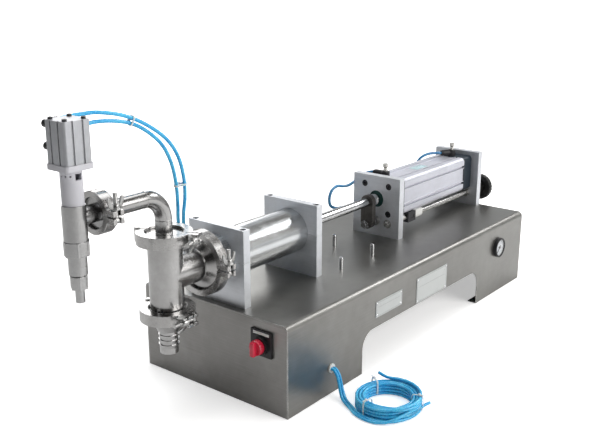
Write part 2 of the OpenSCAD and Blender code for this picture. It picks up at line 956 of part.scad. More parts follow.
module clamp(od, id, w) {
  difference() {
    union() {
      clamp_half(od, id, w);
      clamp_ear(od, w);
    }
    rod_z(9.6, -w, w, -od / 2 - 1, 0);
  }
  difference() {
    union() {
      mirror([0, 1, 0])
        clamp_half(od, id, w);
      mirror([0, 1, 0])
        clamp_ear(od, w);
    }
    rod_z(9.6, -w, w, -od / 2 - 1, 0);
    rod_z(4.2, -w, w, od / 2 + 8, -5.5);
  }
  rod_z(9, -w / 2 - 2, w / 2 + 2, -od / 2 - 1, 0);
}

// swing bolt with its eye and cross pin
module swing_bolt(od, w) {
  rod_z(7.6, -3.8, 3.8, od / 2 + 8, -5.5);
  rod_z(4, -w / 2 - 0.5, w / 2 + 0.5, od / 2 + 8, -5.5);
  rod_y(6.6, -5.5, 34, od / 2 + 8, 0);
}

module wing_nut(od) {
  difference() {
    union() {
      rod_y(14, 9.6, 19, od / 2 + 8, 0);
      for (s = [0, 1])
        translate([od / 2 + 8, 14, 0])
          mirror([0, 0, s])
            rotate([25, 0, 0])
              box([-1.8, 0, 3], [1.8, 16, 7.5]);
    }
    rod_y(6.6 + 2 * run, 9, 40, od / 2 + 8, 0);
  }
}

module at_head_clamp() {
  translate([pipe_x1, 0, pipe_z])
    multmatrix([[0, 0, -1, 0], [-1, 0, 0, 0], [0, 1, 0, 0]])
      children();
}

module at_outlet_clamp() {
  translate([tee_x, 0, tee_z2 + gasket_t / 2])
    rotate([0, 0, 24])
      multmatrix([[0, -1, 0, 0], [-1, 0, 0, 0], [0, 0, -1, 0]])
        children();
}

module at_inlet_clamp() {
  translate([tee_x, 0, tee_z1 - gasket_t / 2])
    multmatrix([[0, -1, 0, 0], [-1, 0, 0, 0], [0, 0, -1, 0]])
      children();
}

module at_cylinder_clamp() {
  translate([tube_x1 - gasket_t / 2, 0, axis_z])
    multmatrix([[0, 0, -1, 0], [-1, 0, 0, 0], [0, 1, 0, 0]])
      children();
}

module pipe_clamps() {
  color([0.70, 0.69, 0.67]) {
    at_head_clamp()
      clamp(head_od, small_ferrule, clamp_w);
    at_outlet_clamp()
      clamp(mid_od, ferrule_mid, clamp_w);
    at_inlet_clamp()
      clamp(mid_od, ferrule_mid, clamp_w);
    at_cylinder_clamp()
      clamp(big_od, ferrule_big, clamp_w);
  }
}

module clamp_bolts() {
  color([0.74, 0.74, 0.73]) {
    at_head_clamp()
      swing_bolt(head_od, clamp_w);
    at_outlet_clamp()
      swing_bolt(mid_od, clamp_w);
    at_inlet_clamp()
      swing_bolt(mid_od, clamp_w);
    at_cylinder_clamp()
      swing_bolt(big_od, clamp_w);
  }
}

module wing_nut_head() {
  color([0.77, 0.77, 0.76])
    at_head_clamp()
      wing_nut(head_od);
}

module wing_nut_outlet() {
  color([0.77, 0.77, 0.76])
    at_outlet_clamp()
      wing_nut(mid_od);
}

module wing_nut_inlet() {
  color([0.77, 0.77, 0.76])
    at_inlet_clamp()
      wing_nut(mid_od);
}

module wing_nut_cylinder() {
  color([0.77, 0.77, 0.76])
    at_cylinder_clamp()
      wing_nut(big_od);
}

// four clamp gaskets and the air rod's seal
module seal_rings() {
  color([0.06, 0.22, 0.20]) {
    translate([pipe_x1, 0, pipe_z])
      rotate([0, 90, 0])
        ring_z(small_ferrule - 1, pipe_d, -gasket_t / 2, gasket_t / 2);
    translate([tee_x, 0, tee_z2])
      ring_z(ferrule_mid - 1, pipe_d, 0, gasket_t);
    translate([tee_x, 0, tee_z1])
      ring_z(ferrule_mid - 1, tee_d - 6, -gasket_t, 0);
    translate([tube_x1 - gasket_t, 0, axis_z])
      rotate([0, 90, 0])
        ring_z(ferrule_big - 1, tube_id + 1, 0, gasket_t);
    translate([front_x1 + 1, 0, axis_z])
      rotate([0, 90, 0])
        ring_z(34 - 2 * seat, air_rod_d + 2 * run, 0, plate_t - 2);
  }
}

// check-valve cage: seat ring, four legs and a guide hub above the poppet
module cage() {
  difference() {
    union() {
      rod_z(tee_d - 2 * tee_wall - 2 * seat, 0, 6);
      for (a = [45:90:315])
        rotate([0, 0, a]) {
          box([19.5, -2, 5], [23.3, 2, 38]);
          box([0, -2, 36], [23.3, 2, 40]);
        }
      rod_z(16, 36, 42);
    }
    rod_z(30, -1, 7);
    rod_z(6 + 2 * run, 35, 43);
  }
}

module poppet() {
  rod_z(37, 6, 11);
  rod_z(6, 11, 44);
}

module spring() {
  turns = 4.5;
  n = 54;
  pts = [for (i = [0:n]) [7.5 * cos(360 * turns * i / n), 7.5 * sin(360 * turns * i / n),
    12.1 + 22.8 * i / n]];
  sweep_tube(pts, 2, 6);
}

module at_valve(z) {
  translate([tee_x, 0, z])
    children();
}

module check_valve_cages() {
  color([0.75, 0.75, 0.74]) {
    at_valve(suction_z)
      cage();
    at_valve(discharge_z)
      cage();
  }
}

module suction_poppet() {
  color([0.93, 0.93, 0.92])
    at_valve(suction_z)
      poppet();
}

module discharge_poppet() {
  color([0.93, 0.93, 0.92])
    at_valve(discharge_z)
      poppet();
}

module suction_spring() {
  color([0.66, 0.66, 0.67])
    at_valve(suction_z)
      spring();
}

module discharge_spring() {
  color([0.66, 0.66, 0.67])
    at_valve(discharge_z)
      spring();
}

// ---- filling head ----

module at_head() {
  translate([head_x, 0, pipe_z])
    children();
}

module head_cylinder() {
  h1 = head_conn_top + 8;
  color([0.70, 0.72, 0.74])
    at_head()
      difference() {
        translate([0, 0, h1])
          linear_extrude(head_cyl_top - h1)
            difference() {
              soft_square(head_square, 4);
              for (a = [0:90:270])
                rotate(a)
                  for (s = [-1, 1])
                    translate([head_square / 2 - 2, s * 8 - 1.6])
                      square([4, 3.2]);
            }
        rod_z(head_bore, h1 - 1, head_cyl_top - 10);
        for (s = [-1, 1], t = [-1, 1])
          translate([s * (head_square / 2 - 6), t * (head_square / 2 - 6), 0]) {
            rod_z(4.4, h1 - 1, head_cyl_top + 1);
            rod_z(7.6, head_cyl_top - 1, head_cyl_top + 1);
          }
        for (z = head_port_z)
          rod_y(9.8, head_square / 2 - 6, head_square / 2 + 1, head_port_x, z);
      }
}

// square flange and round window housing
module head_connector() {
  z1 = head_body[1];
  color([0.88, 0.88, 0.87])
    at_head()
      difference() {
        union() {
          translate([0, 0, head_conn_top])
            linear_extrude(8)
              soft_square(head_square + 3, 5);
          rod_z(30, z1, head_conn_top);
        }
        rod_z(21, z1 + 6, head_conn_top - 4);
        rod_z(stem_d + 2 * run, z1 - 1, head_conn_top + 9);
        box([-4, -20, head_conn_top - 14], [6, -8, head_conn_top - 5]);
        for (a = [180, 205, 230])
          rotate([0, 0, a])
            translate([0, 0, head_conn_top - 8])
              rotate([0, 90, 0])
                cylinder(d = 2.6, h = 20);
        for (s = [-1, 1], t = [-1, 1])
          translate([s * (head_square / 2 - 6), t * (head_square / 2 - 6), 0])
            rod_z(4.4, head_conn_top + 1, head_conn_top + 9);
      }
}

// product body with the side inlet and its ferrule
module head_body() {
  z1 = head_body[0];
  z2 = head_body[1];
  reach = pipe_x1 - head_x;
  color([0.80, 0.80, 0.79])
    at_head()
      difference() {
        union() {
          rod_z(33, z1, z2);
          rod_z(27, z1 - 12, z1);
          rod_x(pipe_d, 0, reach - gasket_t / 2);
          rod_x(small_ferrule, reach - ferrule_t, reach - gasket_t / 2);
        }
        rod_z(23, z1 - 13, z2 - 6);
        rod_z(stem_d + 2 * run, z2 - 7, z2 + 1);
        rod_x(pipe_d - 2 * pipe_wall, 0, reach + 1);
      }
}

// union nut above, nozzle nut below
module head_nuts() {
  z1 = head_body[0];
  color([0.76, 0.76, 0.75])
    at_head() {
      difference() {
        union() {
          rod_z(35, z1 - 20, z1);
          hex_z(32, z1 - 21, z1 - 1);
        }
        rod_z(27.4, z1 - 17, z1 + 1);
        rod_z(26.4, z1 - 22, z1 - 16);
      }
      difference() {
        union() {
          rod_z(24, z1 - 66, z1 - 50);
          hex_z(22, z1 - 69, z1 - 50);
        }
        rod_z(19.2, z1 - 65, z1 - 49);
        rod_z(13.2, z1 - 70, z1 - 64);
      }
    }
}

module nozzle_sleeve() {
  z1 = head_body[0];
  color([0.78, 0.78, 0.77])
    at_head()
      difference() {
        union() {
          rod_z(26, z1 - 48, z1 - 12.2);
          rod_z(18.8, z1 - 58, z1 - 48);
        }
        rod_z(16, z1 - 59, z1 - 11);
      }
}

module nozzle_tip() {
  z1 = head_body[0];
  color([0.82, 0.82, 0.81])
    at_head()
      difference() {
        union() {
          rod_z(13, z1 - 89, z1 - 70);
          rod_z(12.6, z1 - 71, z1 - 63);
          rod_z(18.8, z1 - 63.5, z1 - 58.4);
        }
        rod_z(10.8, z1 - 81, z1 - 58);
        rod_z(10, z1 - 90, z1 - 80);
      }
}

// shut-off stem with its plug, and its air piston as a separate solid
module shutoff_stem() {
  z1 = head_body[0];
  zp = head_conn_top + 10;
  color([0.78, 0.79, 0.80])
    at_head() {
      rod_z(stem_d, z1 - 80, zp + 12);
      rod_z(10 - 2 * free, z1 - 88, z1 - 80);
      difference() {
        rod_z(head_bore - 2 * free, zp, zp + 12);
        rod_z(stem_d + 2 * seat, zp - 1, zp + 13);
      }
    }
}

// ---- air tubes and their fittings ----

// straight push-in fitting along +Z with its stem below z = 0
module push_fitting(d, stem_d, stem_l) {
  difference() {
    union() {
      rod_z(stem_d, -stem_l, 0);
      rod_z(d, 0, 12);
      rod_z(d - 2, 12, 15);
    }
    rod_z(air_tube_d + 2 * seat, 4, 16);
  }
}

// elbow fitting: stem below z = 0, tube socket along +X at the height elbow_arm
module elbow_fitting(stem_d, stem_l) {
  difference() {
    union() {
      rod_z(stem_d, -stem_l, 0);
      rod_z(13, 0, 5);
      rod_z(11, 5, elbow_arm + 6);
      rod_x(11, 0, 14, 0, elbow_arm);
      rod_x(9.6, 14, 17, 0, elbow_arm);
    }
    rod_x(air_tube_d + 2 * seat, 8, 18, 0, elbow_arm);
  }
}

module tube_fittings() {
  color([0.05, 0.05, 0.06]) {
    for (i = [0, 1])
      translate([head_x + head_port_x, head_square / 2, pipe_z + head_port_z[i]])
        rotate([-90, 0, 0])
          rotate([0, 0, -elbow_up[i]])
            elbow_fitting(9.6, 3.5);
    for (p = bulkheads)
      translate([p[0], p[1], base_height])
        push_fitting(13, 10, 12);
  }
}

// routes of the two tubes of the filling head; the first four points leave the elbow
hx = head_x + head_port_x;
hy = head_square / 2 + elbow_arm;
bx = bulkheads[0][0];
function elbow_out(i) = [
  for (d = [9, 13, 18, 26])
    [hx + d * cos(elbow_up[i]), hy, pipe_z + head_port_z[i] + d * sin(elbow_up[i])]
];
function drop(p) = [for (h = [72, 45, 22, 11, 4]) [p[0], p[1], base_height + h]];
head_route_a = concat(
  elbow_out(1),
  [
    [hx + 57, hy + 2, pipe_z + 130], [hx + 88, hy + 3, pipe_z + 128],
    [hx + 134, hy + 5, pipe_z + 117], [hx + 178, hy + 8, pipe_z + 97],
    [hx + 219, hy + 12, pipe_z + 69], [hx + 246, hy + 17, pipe_z + 37],
    [hx + 261, hy + 22, pipe_z], [hx + 267, hy + 27, pipe_z - 34],
    [hx + 269, hy + 34, pipe_z - 66], [hx + 279, hy + 43, pipe_z - 96]
  ],
  drop(bulkheads[0])
);
head_route_b = concat(
  elbow_out(0),
  [
    [hx + 48, hy + 1, pipe_z + 111], [hx + 72, hy + 2, pipe_z + 116],
    [hx + 110, hy + 4, pipe_z + 113], [hx + 149, hy + 7, pipe_z + 103],
    [hx + 184, hy + 11, pipe_z + 84], [hx + 215, hy + 16, pipe_z + 58],
    [hx + 237, hy + 22, pipe_z + 24], [hx + 251, hy + 29, pipe_z - 14],
    [hx + 259, hy + 36, pipe_z - 48], [hx + 268, hy + 46, pipe_z - 82],
    [hx + 284, hy + 56, pipe_z - 112]
  ],
  drop(bulkheads[1])
);

module head_air_tubes() {
  color([0.10, 0.62, 0.90]) {
    sweep_tube(smooth(head_route_a, 3), air_tube_d);
    sweep_tube(smooth(head_route_b, 3), air_tube_d);
  }
}

// routes from the flow controls down to the base
fz = axis_z + air_square / 2 + flow_arm;
b2 = bulkheads[2];
b3 = bulkheads[3];
flow_route_a = [
  [port_x[0], 16, fz], [port_x[0], 22, fz], [port_x[0], 28, fz], [port_x[0] - 1, 36, fz - 1],
  [port_x[0] - 4, 50, fz - 7], [port_x[0] - 13, 61, fz - 19], [port_x[0] - 30, 68, fz - 28],
  [port_x[0] - 49, 70, fz - 27], [port_x[0] - 66, 72, fz - 24],
  [port_x[0] - 82, 73, fz - 30], [port_x[0] - 89, 74, fz - 45],
  [port_x[0] - 84, 75, fz - 61], [port_x[0] - 68, 76, fz - 70],
  [b2[0] - 74, b2[1], base_height + 48], [b2[0] - 50, b2[1], base_height + 46],
  [b2[0] - 27, b2[1], base_height + 45], [b2[0] - 10, b2[1], base_height + 38],
  [b2[0] - 1.5, b2[1], base_height + 28], [b2[0], b2[1], base_height + 19],
  [b2[0], b2[1], base_height + 12], [b2[0], b2[1], base_height + 4]
];
ca = cos(rear_turn);
sa = sin(rear_turn);
flow_route_b = [
  [port_x[1] + 16 * ca, 16 * sa, fz], [port_x[1] + 22 * ca, 22 * sa, fz],
  [port_x[1] + 28 * ca, 28 * sa, fz], [port_x[1] + 38 * ca, 38 * sa, fz + 1],
  [port_x[1] - 50, 31, fz], [port_x[1] - 63, 41, fz - 7],
  [b3[0] + 5, 49, fz - 22], [b3[0] + 1, 56, fz - 46], [b3[0], 62, fz - 74],
  [b3[0], b3[1], base_height + 22], [b3[0], b3[1], base_height + 11],
  [b3[0], b3[1], base_height + 4]
];

module flow_tubes() {
  color([0.10, 0.55, 0.85]) {
    sweep_tube(smooth(flow_route_a, 4), air_tube_d);
    sweep_tube(smooth(flow_route_b, 4), air_tube_d);
  }
}

// supply tubes: out of the grommet, down to the bench and into the coil
gx = grommet_pos[0];
gz = grommet_pos[1];
side_y = -base_width / 2;
function supply_route(s) = concat(
  [for (p = [
    [0, 8, 0, 0], [0, 2, 0, 0], [0, -4, 0, 0], [0, -9, -1.5, 0], [0, -15, -10, 0],
    [0, -19, -24, 4], [-3, -25, -36, 22], [-12, -37, -41.5, 36]
  ]) [gx + p[0] + twin * s * cos(p[3]), side_y + p[1] - twin * s * sin(p[3]), gz + p[2]]],
  [for (a = [142:13:194])
    [coil_c[0] + (lay_r - twin * s) * cos(a), coil_c[1] + (lay_r - twin * s) * sin(a),
      supply_d / 2 + 0.1]]
);

module supply_tubes() {
  color([0.10, 0.55, 0.85])
    for (s = [-1, 1])
      sweep_tube(smooth(supply_route(s), 3), supply_d);
}

module supply_coil() {
  color([0.10, 0.55, 0.85])
    translate([coil_c[0], coil_c[1], 0])
      difference() {
        rod_z(coil_od, 0, coil_h);
        rod_z(coil_id, -1, coil_h + 1);
      }
}

base_cover();
end_panels();
control_valve();
side_grommet();
info_plates();
standoff_pins();
selector_bezel();
selector_knob();
gauge_case();
gauge_dial();
gauge_needle();
block_lowers();
block_uppers();
cap_screws();
product_cylinder();
product_piston();
piston_seals();
product_rod();
link_plate();
guide_rod();
plain_bushes();
cylinder_front_plate();
cylinder_rear_plate();
air_caps();
air_barrel();
air_piston();
air_rod();
flow_controls();
flow_screw_front();
flow_screw_rear();
adjusting_spindle();
handwheel();
stroke_carriage();
valve_tee();
elbow_pipe();
inlet_reducer();
pipe_clamps();
clamp_bolts();
wing_nut_head();
wing_nut_outlet();
wing_nut_inlet();
wing_nut_cylinder();
seal_rings();
check_valve_cages();
suction_poppet();
discharge_poppet();
suction_spring();
discharge_spring();
head_cylinder();
head_connector();
head_body();
head_nuts();
nozzle_sleeve();
nozzle_tip();
shutoff_stem();
tube_fittings();
head_air_tubes();
flow_tubes();
supply_tubes();
supply_coil();
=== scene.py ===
import json
import math
import random

import bmesh
import bpy
from mathutils import Matrix, Vector


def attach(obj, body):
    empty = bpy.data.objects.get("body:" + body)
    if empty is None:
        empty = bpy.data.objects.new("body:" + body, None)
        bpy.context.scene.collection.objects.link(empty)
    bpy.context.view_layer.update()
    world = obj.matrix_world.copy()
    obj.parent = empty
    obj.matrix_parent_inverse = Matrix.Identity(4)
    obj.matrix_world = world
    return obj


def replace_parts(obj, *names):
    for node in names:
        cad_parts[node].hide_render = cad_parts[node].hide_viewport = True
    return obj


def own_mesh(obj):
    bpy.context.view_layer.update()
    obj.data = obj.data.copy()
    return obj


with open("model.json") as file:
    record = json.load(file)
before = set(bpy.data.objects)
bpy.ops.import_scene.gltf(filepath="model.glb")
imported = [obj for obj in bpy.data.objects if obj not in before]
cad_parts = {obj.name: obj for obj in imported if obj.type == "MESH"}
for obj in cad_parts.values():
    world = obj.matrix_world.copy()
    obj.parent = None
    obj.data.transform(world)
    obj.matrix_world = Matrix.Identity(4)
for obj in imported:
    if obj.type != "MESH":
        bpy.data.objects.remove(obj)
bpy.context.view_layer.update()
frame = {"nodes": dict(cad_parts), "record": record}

MM = 0.001
rng = random.Random(7)
nodes = frame["nodes"]
X, Y, Z = Vector((1, 0, 0)), Vector((0, 1, 0)), Vector((0, 0, 1))


# ---------------------------------------------------------------- camera
CAM_AT = (-1.3359, -0.9261, 0.6820)
CAM_TILT, CAM_HEADING = 73.58, -51.18
CAM_LENS, CAM_SENSOR, CAM_REACH = 51.94, 36, 200
cam_data = bpy.data.cameras.new("photo_camera")
cam_data.sensor_width = CAM_SENSOR
cam_data.sensor_fit = "HORIZONTAL"
cam_data.lens = CAM_LENS
cam_data.clip_end = CAM_REACH
cam = bpy.data.objects.new("photo_camera", cam_data)
cam.location = CAM_AT
cam.rotation_euler = (math.radians(CAM_TILT), 0, math.radians(CAM_HEADING))
bpy.context.collection.objects.link(cam)
bpy.context.scene.camera = cam


# ---------------------------------------------------------------- node helpers
class Nodes:
    """Short way to add shader nodes: values and links go in by socket name or number."""

    def __init__(self, tree):
        self.tree = tree

    def add(self, kind, out=0, props=None, **sockets):
        node = self.tree.nodes.new(kind)
        for k, v in (props or {}).items():
            setattr(node, k, v)
        for k, v in sockets.items():
            key = int(k[1:]) if k[0] == "i" and k[1:].isdigit() else k.replace("_", " ")
            self.put(node.inputs[key], v)
        return node.outputs[out]

    def put(self, socket, v):
        if isinstance(v, bpy.types.NodeSocket):
            self.tree.links.new(v, socket)
        elif v is not None:
            old = socket.default_value
            if hasattr(old, "__len__") and len(old) == 4 and len(v) == 3:
                v = (*v, 1)
            socket.default_value = v

    def math(self, op, a, b=0.0, clamp=False):
        return self.add("ShaderNodeMath", props={"operation": op, "use_clamp": clamp}, i0=a, i1=b)

    def vmath(self, op, a, b, out=0):
        return self.add("ShaderNodeVectorMath", out=out, props={"operation": op}, i0=a, i1=b)

    def place(self, scale=(1, 1, 1), shift=(0, 0, 0)):
        co = self.add("ShaderNodeTexCoord", out="Object")
        return self.add("ShaderNodeMapping", Vector=co, Scale=scale, Location=shift)

    def noise(self, scale, at=None, detail=2.0, rough=0.5, warp=0.0):
        return self.add("ShaderNodeTexNoise", out="Fac", Vector=at or self.place(), Scale=scale,
                        Detail=detail, Roughness=rough, Distortion=warp)

    def span(self, v, lo, hi, a=0.0, b=1.0):
        return self.add("ShaderNodeMapRange", Value=v, From_Min=lo, From_Max=hi, To_Min=a, To_Max=b)

    def mix(self, f, a, b):
        node = self.tree.nodes.new("ShaderNodeMix")
        node.data_type = "RGBA"
        for i, v in ((0, f), (6, a), (7, b)):
            self.put(node.inputs[i], v)
        return node.outputs[2]

def new_material(name, **plain):
    """A Principled material; plain values go straight on the shader's own sockets."""
    m = bpy.data.materials.new(name)
    m.use_nodes = True
    n = Nodes(m.node_tree)
    bsdf = m.node_tree.nodes["Principled BSDF"]
    for k, v in plain.items():
        n.put(bsdf.inputs[k.replace("_", " ")], v)
    return m, n, bsdf


def edge_mask(n, radius):
    """1 on worn edges, 0 on flats, and the rounded normal."""
    soft = n.add("ShaderNodeBevel", props={"samples": 4}, Radius=radius)
    flat = n.add("ShaderNodeNewGeometry", out="Normal")
    d = n.vmath("DOT_PRODUCT", soft, flat, out="Value")
    return n.span(d, 0.995, 0.86), soft


def metal(name, dark, light, rough=0.3, grain=(1, 1, 1), grain_scale=900, grain_bump=0.05,
          grain_rough=0.12, stain=6, dent=0.0, dent_scale=30, wear=(0.86, 0.86, 0.85),
          wear_amount=0.6, radius=0.0008, smudge=0.1, metallic=1.0, pits=0.0):
    m, n, bsdf = new_material(name, Metallic=metallic)
    lines = n.noise(grain_scale, n.place(grain), detail=3, rough=0.6)
    cloud = n.noise(stain, n.place((1, 1, 1), (3, 1, 2)), detail=5, rough=0.6, warp=0.4)
    fine = n.noise(stain * 14, n.place((1, 1, 1), (1, 5, 2)), detail=3)
    edge, soft = edge_mask(n, radius)
    tone = n.math("ADD", n.span(cloud, 0.3, 0.7, 0, 0.75), n.span(lines, 0.3, 0.7, -0.12, 0.2))
    tone = n.math("ADD", tone, n.span(fine, 0.35, 0.65, -0.05, 0.08), clamp=True)
    colour = n.mix(tone, dark, light)
    rub = n.math("MULTIPLY", edge, n.span(fine, 0.35, 0.6, 0.5 * wear_amount, wear_amount))
    n.put(bsdf.inputs["Base Color"], n.mix(rub, colour, wear))
    r = n.math("ADD", n.span(lines, 0.25, 0.75, rough - grain_rough / 2, rough + grain_rough / 2),
               n.span(cloud, 0.35, 0.7, 0, smudge))
    n.put(bsdf.inputs["Roughness"], n.math("MAXIMUM", r, 0.04))
    bump = n.add("ShaderNodeBump", Height=lines, Strength=grain_bump, Distance=0.0006, Normal=soft)
    if dent:
        wave = n.noise(dent_scale, n.place((1, 1, 1), (9, 2, 4)), detail=1)
        bump = n.add("ShaderNodeBump", Height=wave, Strength=dent, Distance=0.004, Normal=bump)
    if pits:
        spot = n.noise(1400, n.place((1, 1, 1), (4, 4, 4)), detail=1)
        bump = n.add("ShaderNodeBump", Height=spot, Strength=pits, Distance=0.0004, Normal=bump)
    n.put(bsdf.inputs["Normal"], bump)
    return m


def plastic(name, base, pale, rough=0.45, pits=0.15, pit_scale=1500, radius=0.0006, coat=0.0,
            subsurface=0.0):
    m, n, bsdf = new_material(name, IOR=1.46, Coat_Weight=coat, Coat_Roughness=0.12,
                              Subsurface_Weight=subsurface, Subsurface_Scale=0.004)
    skin = n.noise(pit_scale, detail=2)
    cloud = n.noise(18, n.place((1, 1, 1), (2, 7, 3)), detail=5, rough=0.6)
    edge, soft = edge_mask(n, radius)
    tone = n.math("ADD", n.span(cloud, 0.35, 0.7, 0, 0.35), n.math("MULTIPLY", edge, 0.55),
                  clamp=True)
    n.put(bsdf.inputs["Base Color"], n.mix(tone, base, pale))
    r = n.math("ADD", n.span(cloud, 0.3, 0.7, rough - 0.06, rough + 0.08),
               n.span(skin, 0.3, 0.7, -0.04, 0.04))
    n.put(bsdf.inputs["Roughness"], r)
    bump = n.add("ShaderNodeBump", Height=skin, Strength=pits, Distance=0.0003, Normal=soft)
    n.put(bsdf.inputs["Normal"], bump)
    return m


# ---------------------------------------------------------------- materials
ALONG_X, ALONG_Y, ALONG_Z = (0.012, 1, 1), (1, 0.012, 1), (1, 1, 0.012)
mats = {
    "sheet_steel": metal("sheet_steel", (0.215, 0.212, 0.202), (0.33, 0.328, 0.315), rough=0.33,
                         grain=ALONG_X, grain_scale=700, grain_bump=0.07, stain=3.5, dent=0.06,
                         dent_scale=6, wear=(0.95, 0.95, 0.94), wear_amount=0.8, radius=0.0022,
                         smudge=0.08),
    "sheet_steel_dark": metal("sheet_steel_dark", (0.235, 0.23, 0.222), (0.37, 0.365, 0.355),
                              rough=0.36, grain=ALONG_Y, grain_scale=700, grain_bump=0.07,
                              stain=4.5, dent=0.05, dent_scale=6, smudge=0.1),
    "plate_aluminium": metal("plate_aluminium", (0.62, 0.64, 0.67), (0.82, 0.84, 0.88), rough=0.44,
                             grain=(1, 0.02, 1), grain_scale=600, grain_bump=0.10, stain=9,
                             wear=(0.95, 0.96, 0.98), metallic=0.8, pits=0.06),
    "anodised_aluminium": metal("anodised_aluminium", (0.58, 0.59, 0.65), (0.72, 0.73, 0.80),
                                rough=0.42, grain=ALONG_X, grain_scale=900, grain_bump=0.05,
                                stain=8, metallic=0.6, pits=0.05),
    "head_aluminium": metal("head_aluminium", (0.40, 0.41, 0.43), (0.54, 0.55, 0.58),
                            rough=0.40, grain=ALONG_Z, grain_scale=900, grain_bump=0.05,
                            stain=12, metallic=0.7, pits=0.05),
    "cast_aluminium": metal("cast_aluminium", (0.45, 0.46, 0.48), (0.62, 0.63, 0.65), rough=0.5,
                            grain_scale=400, grain_bump=0.2, pits=0.3),
    "polished_tube": metal("polished_tube", (0.58, 0.60, 0.61), (0.78, 0.80, 0.82), rough=0.20,
                           grain=ALONG_X, grain_scale=800, grain_bump=0.04, stain=10,
                           dent=0.02, dent_scale=9, smudge=0.10),
    "tee_steel": metal("tee_steel", (0.33, 0.325, 0.32), (0.54, 0.54, 0.54), rough=0.17,
                       grain_scale=900, grain_bump=0.02, stain=12, dent=0.035, dent_scale=16,
                       smudge=0.12, radius=0.0012),
    "head_steel": metal("head_steel", (0.33, 0.33, 0.33), (0.52, 0.52, 0.52), rough=0.22,
                        grain_scale=1800, grain_bump=0.03, stain=14, smudge=0.1),
    "clamp_steel": metal("clamp_steel", (0.32, 0.315, 0.31), (0.56, 0.555, 0.55), rough=0.20,
                         grain_scale=600, grain_bump=0.05, stain=20, dent=0.05, dent_scale=46,
                         smudge=0.13, radius=0.0015, pits=0.03),
    "cast_nut": metal("cast_nut", (0.34, 0.34, 0.335), (0.60, 0.60, 0.59), rough=0.26,
                      grain_scale=420, grain_bump=0.10, stain=40, smudge=0.12, radius=0.0008,
                      pits=0.12),
    "chrome_rod": metal("chrome_rod", (0.58, 0.59, 0.60), (0.74, 0.75, 0.77), rough=0.12,
                        grain=(1, 0.05, 0.05), grain_scale=900, grain_bump=0.03, stain=8),
    "link_steel": metal("link_steel", (0.10, 0.095, 0.09), (0.20, 0.19, 0.18), rough=0.35,
                        grain=ALONG_Z, grain_scale=500, grain_bump=0.15, stain=20,
                        wear=(0.6, 0.6, 0.6)),
    "dark_steel": metal("dark_steel", (0.05, 0.05, 0.055), (0.12, 0.12, 0.125), rough=0.38,
                        grain_scale=600, grain_bump=0.1, stain=60, wear=(0.4, 0.4, 0.4),
                        radius=0.0004),
    "bush_grey": metal("bush_grey", (0.30, 0.30, 0.30), (0.48, 0.48, 0.48), rough=0.34,
                       grain_scale=500, stain=30),
    "nickel_brass": metal("nickel_brass", (0.50, 0.49, 0.46), (0.72, 0.71, 0.68), rough=0.22,
                          grain_scale=500, stain=60, radius=0.0004),
    "spindle_steel": metal("spindle_steel", (0.46, 0.46, 0.45), (0.70, 0.70, 0.69), rough=0.22,
                           grain_scale=500, stain=20, radius=0.0003),
    "spring_steel": metal("spring_steel", (0.40, 0.40, 0.41), (0.6, 0.6, 0.61), rough=0.25),
    "navy_cap": plastic("navy_cap", (0.003, 0.011, 0.021), (0.010, 0.028, 0.045), rough=0.42,
                        pits=0.2, pit_scale=900, coat=0.1),
    "black_plastic": plastic("black_plastic", (0.008, 0.008, 0.010), (0.05, 0.05, 0.055),
                             rough=0.4),
    "handwheel_black": plastic("handwheel_black", (0.002, 0.002, 0.002), (0.010, 0.010, 0.010),
                               rough=0.5, pits=0.25, radius=0.001),
    "black_rubber": plastic("black_rubber", (0.01, 0.01, 0.011), (0.04, 0.04, 0.04), rough=0.7),
    "green_rubber": plastic("green_rubber", (0.004, 0.045, 0.038), (0.02, 0.11, 0.095), rough=0.5),
    "white_plastic": plastic("white_plastic", (0.74, 0.74, 0.71), (0.88, 0.88, 0.86), rough=0.4,
                             subsurface=0.05),
    "red_plastic": plastic("red_plastic", (0.60, 0.012, 0.045), (0.78, 0.06, 0.12), rough=0.28,
                           coat=0.4, pits=0.06),
    "dial_white": plastic("dial_white", (0.84, 0.85, 0.86), (0.92, 0.92, 0.93), rough=0.5,
                          pits=0.03),
    "needle_black": plastic("needle_black", (0.01, 0.01, 0.012), (0.03, 0.03, 0.03), rough=0.35),
    "plate_white": plastic("plate_white", (0.46, 0.48, 0.475), (0.58, 0.60, 0.60), rough=0.32,
                           pits=0.05, pit_scale=260),
    "ink_grey": plastic("ink_grey", (0.20, 0.21, 0.22), (0.30, 0.31, 0.32), rough=0.5),
    "connector_alloy": plastic("connector_alloy", (0.58, 0.58, 0.62), (0.72, 0.72, 0.76),
                               rough=0.42, pits=0.2, pit_scale=1200),
    "pale_blue": plastic("pale_blue", (0.48, 0.66, 0.70), (0.62, 0.78, 0.80), rough=0.3),
    "clear_tie": plastic("clear_tie", (0.66, 0.74, 0.78), (0.85, 0.9, 0.92), rough=0.3,
                         subsurface=0.2),
}


def tube_material(name, deep, pale):
    """Translucent polyurethane tube: paler where the wall shows light, faint scuffs along it."""
    m, n, bsdf = new_material(name, IOR=1.5, Subsurface_Weight=0.35, Subsurface_Scale=0.004,
                              Subsurface_Radius=(0.4, 0.9, 1.0), Coat_Weight=0.3,
                              Coat_Roughness=0.15)
    cloud = n.noise(26, detail=4, rough=0.6)
    scuff = n.noise(420, detail=3, rough=0.6)
    tone = n.math("ADD", n.span(cloud, 0.35, 0.68, 0, 0.7), n.span(scuff, 0.4, 0.7, 0, 0.25),
                  clamp=True)
    n.put(bsdf.inputs["Base Color"], n.mix(tone, deep, pale))
    n.put(bsdf.inputs["Roughness"], n.span(scuff, 0.3, 0.7, 0.20, 0.34))
    n.put(bsdf.inputs["Normal"], n.add("ShaderNodeBump", Height=scuff, Strength=0.06,
                                       Distance=0.0004))
    return m


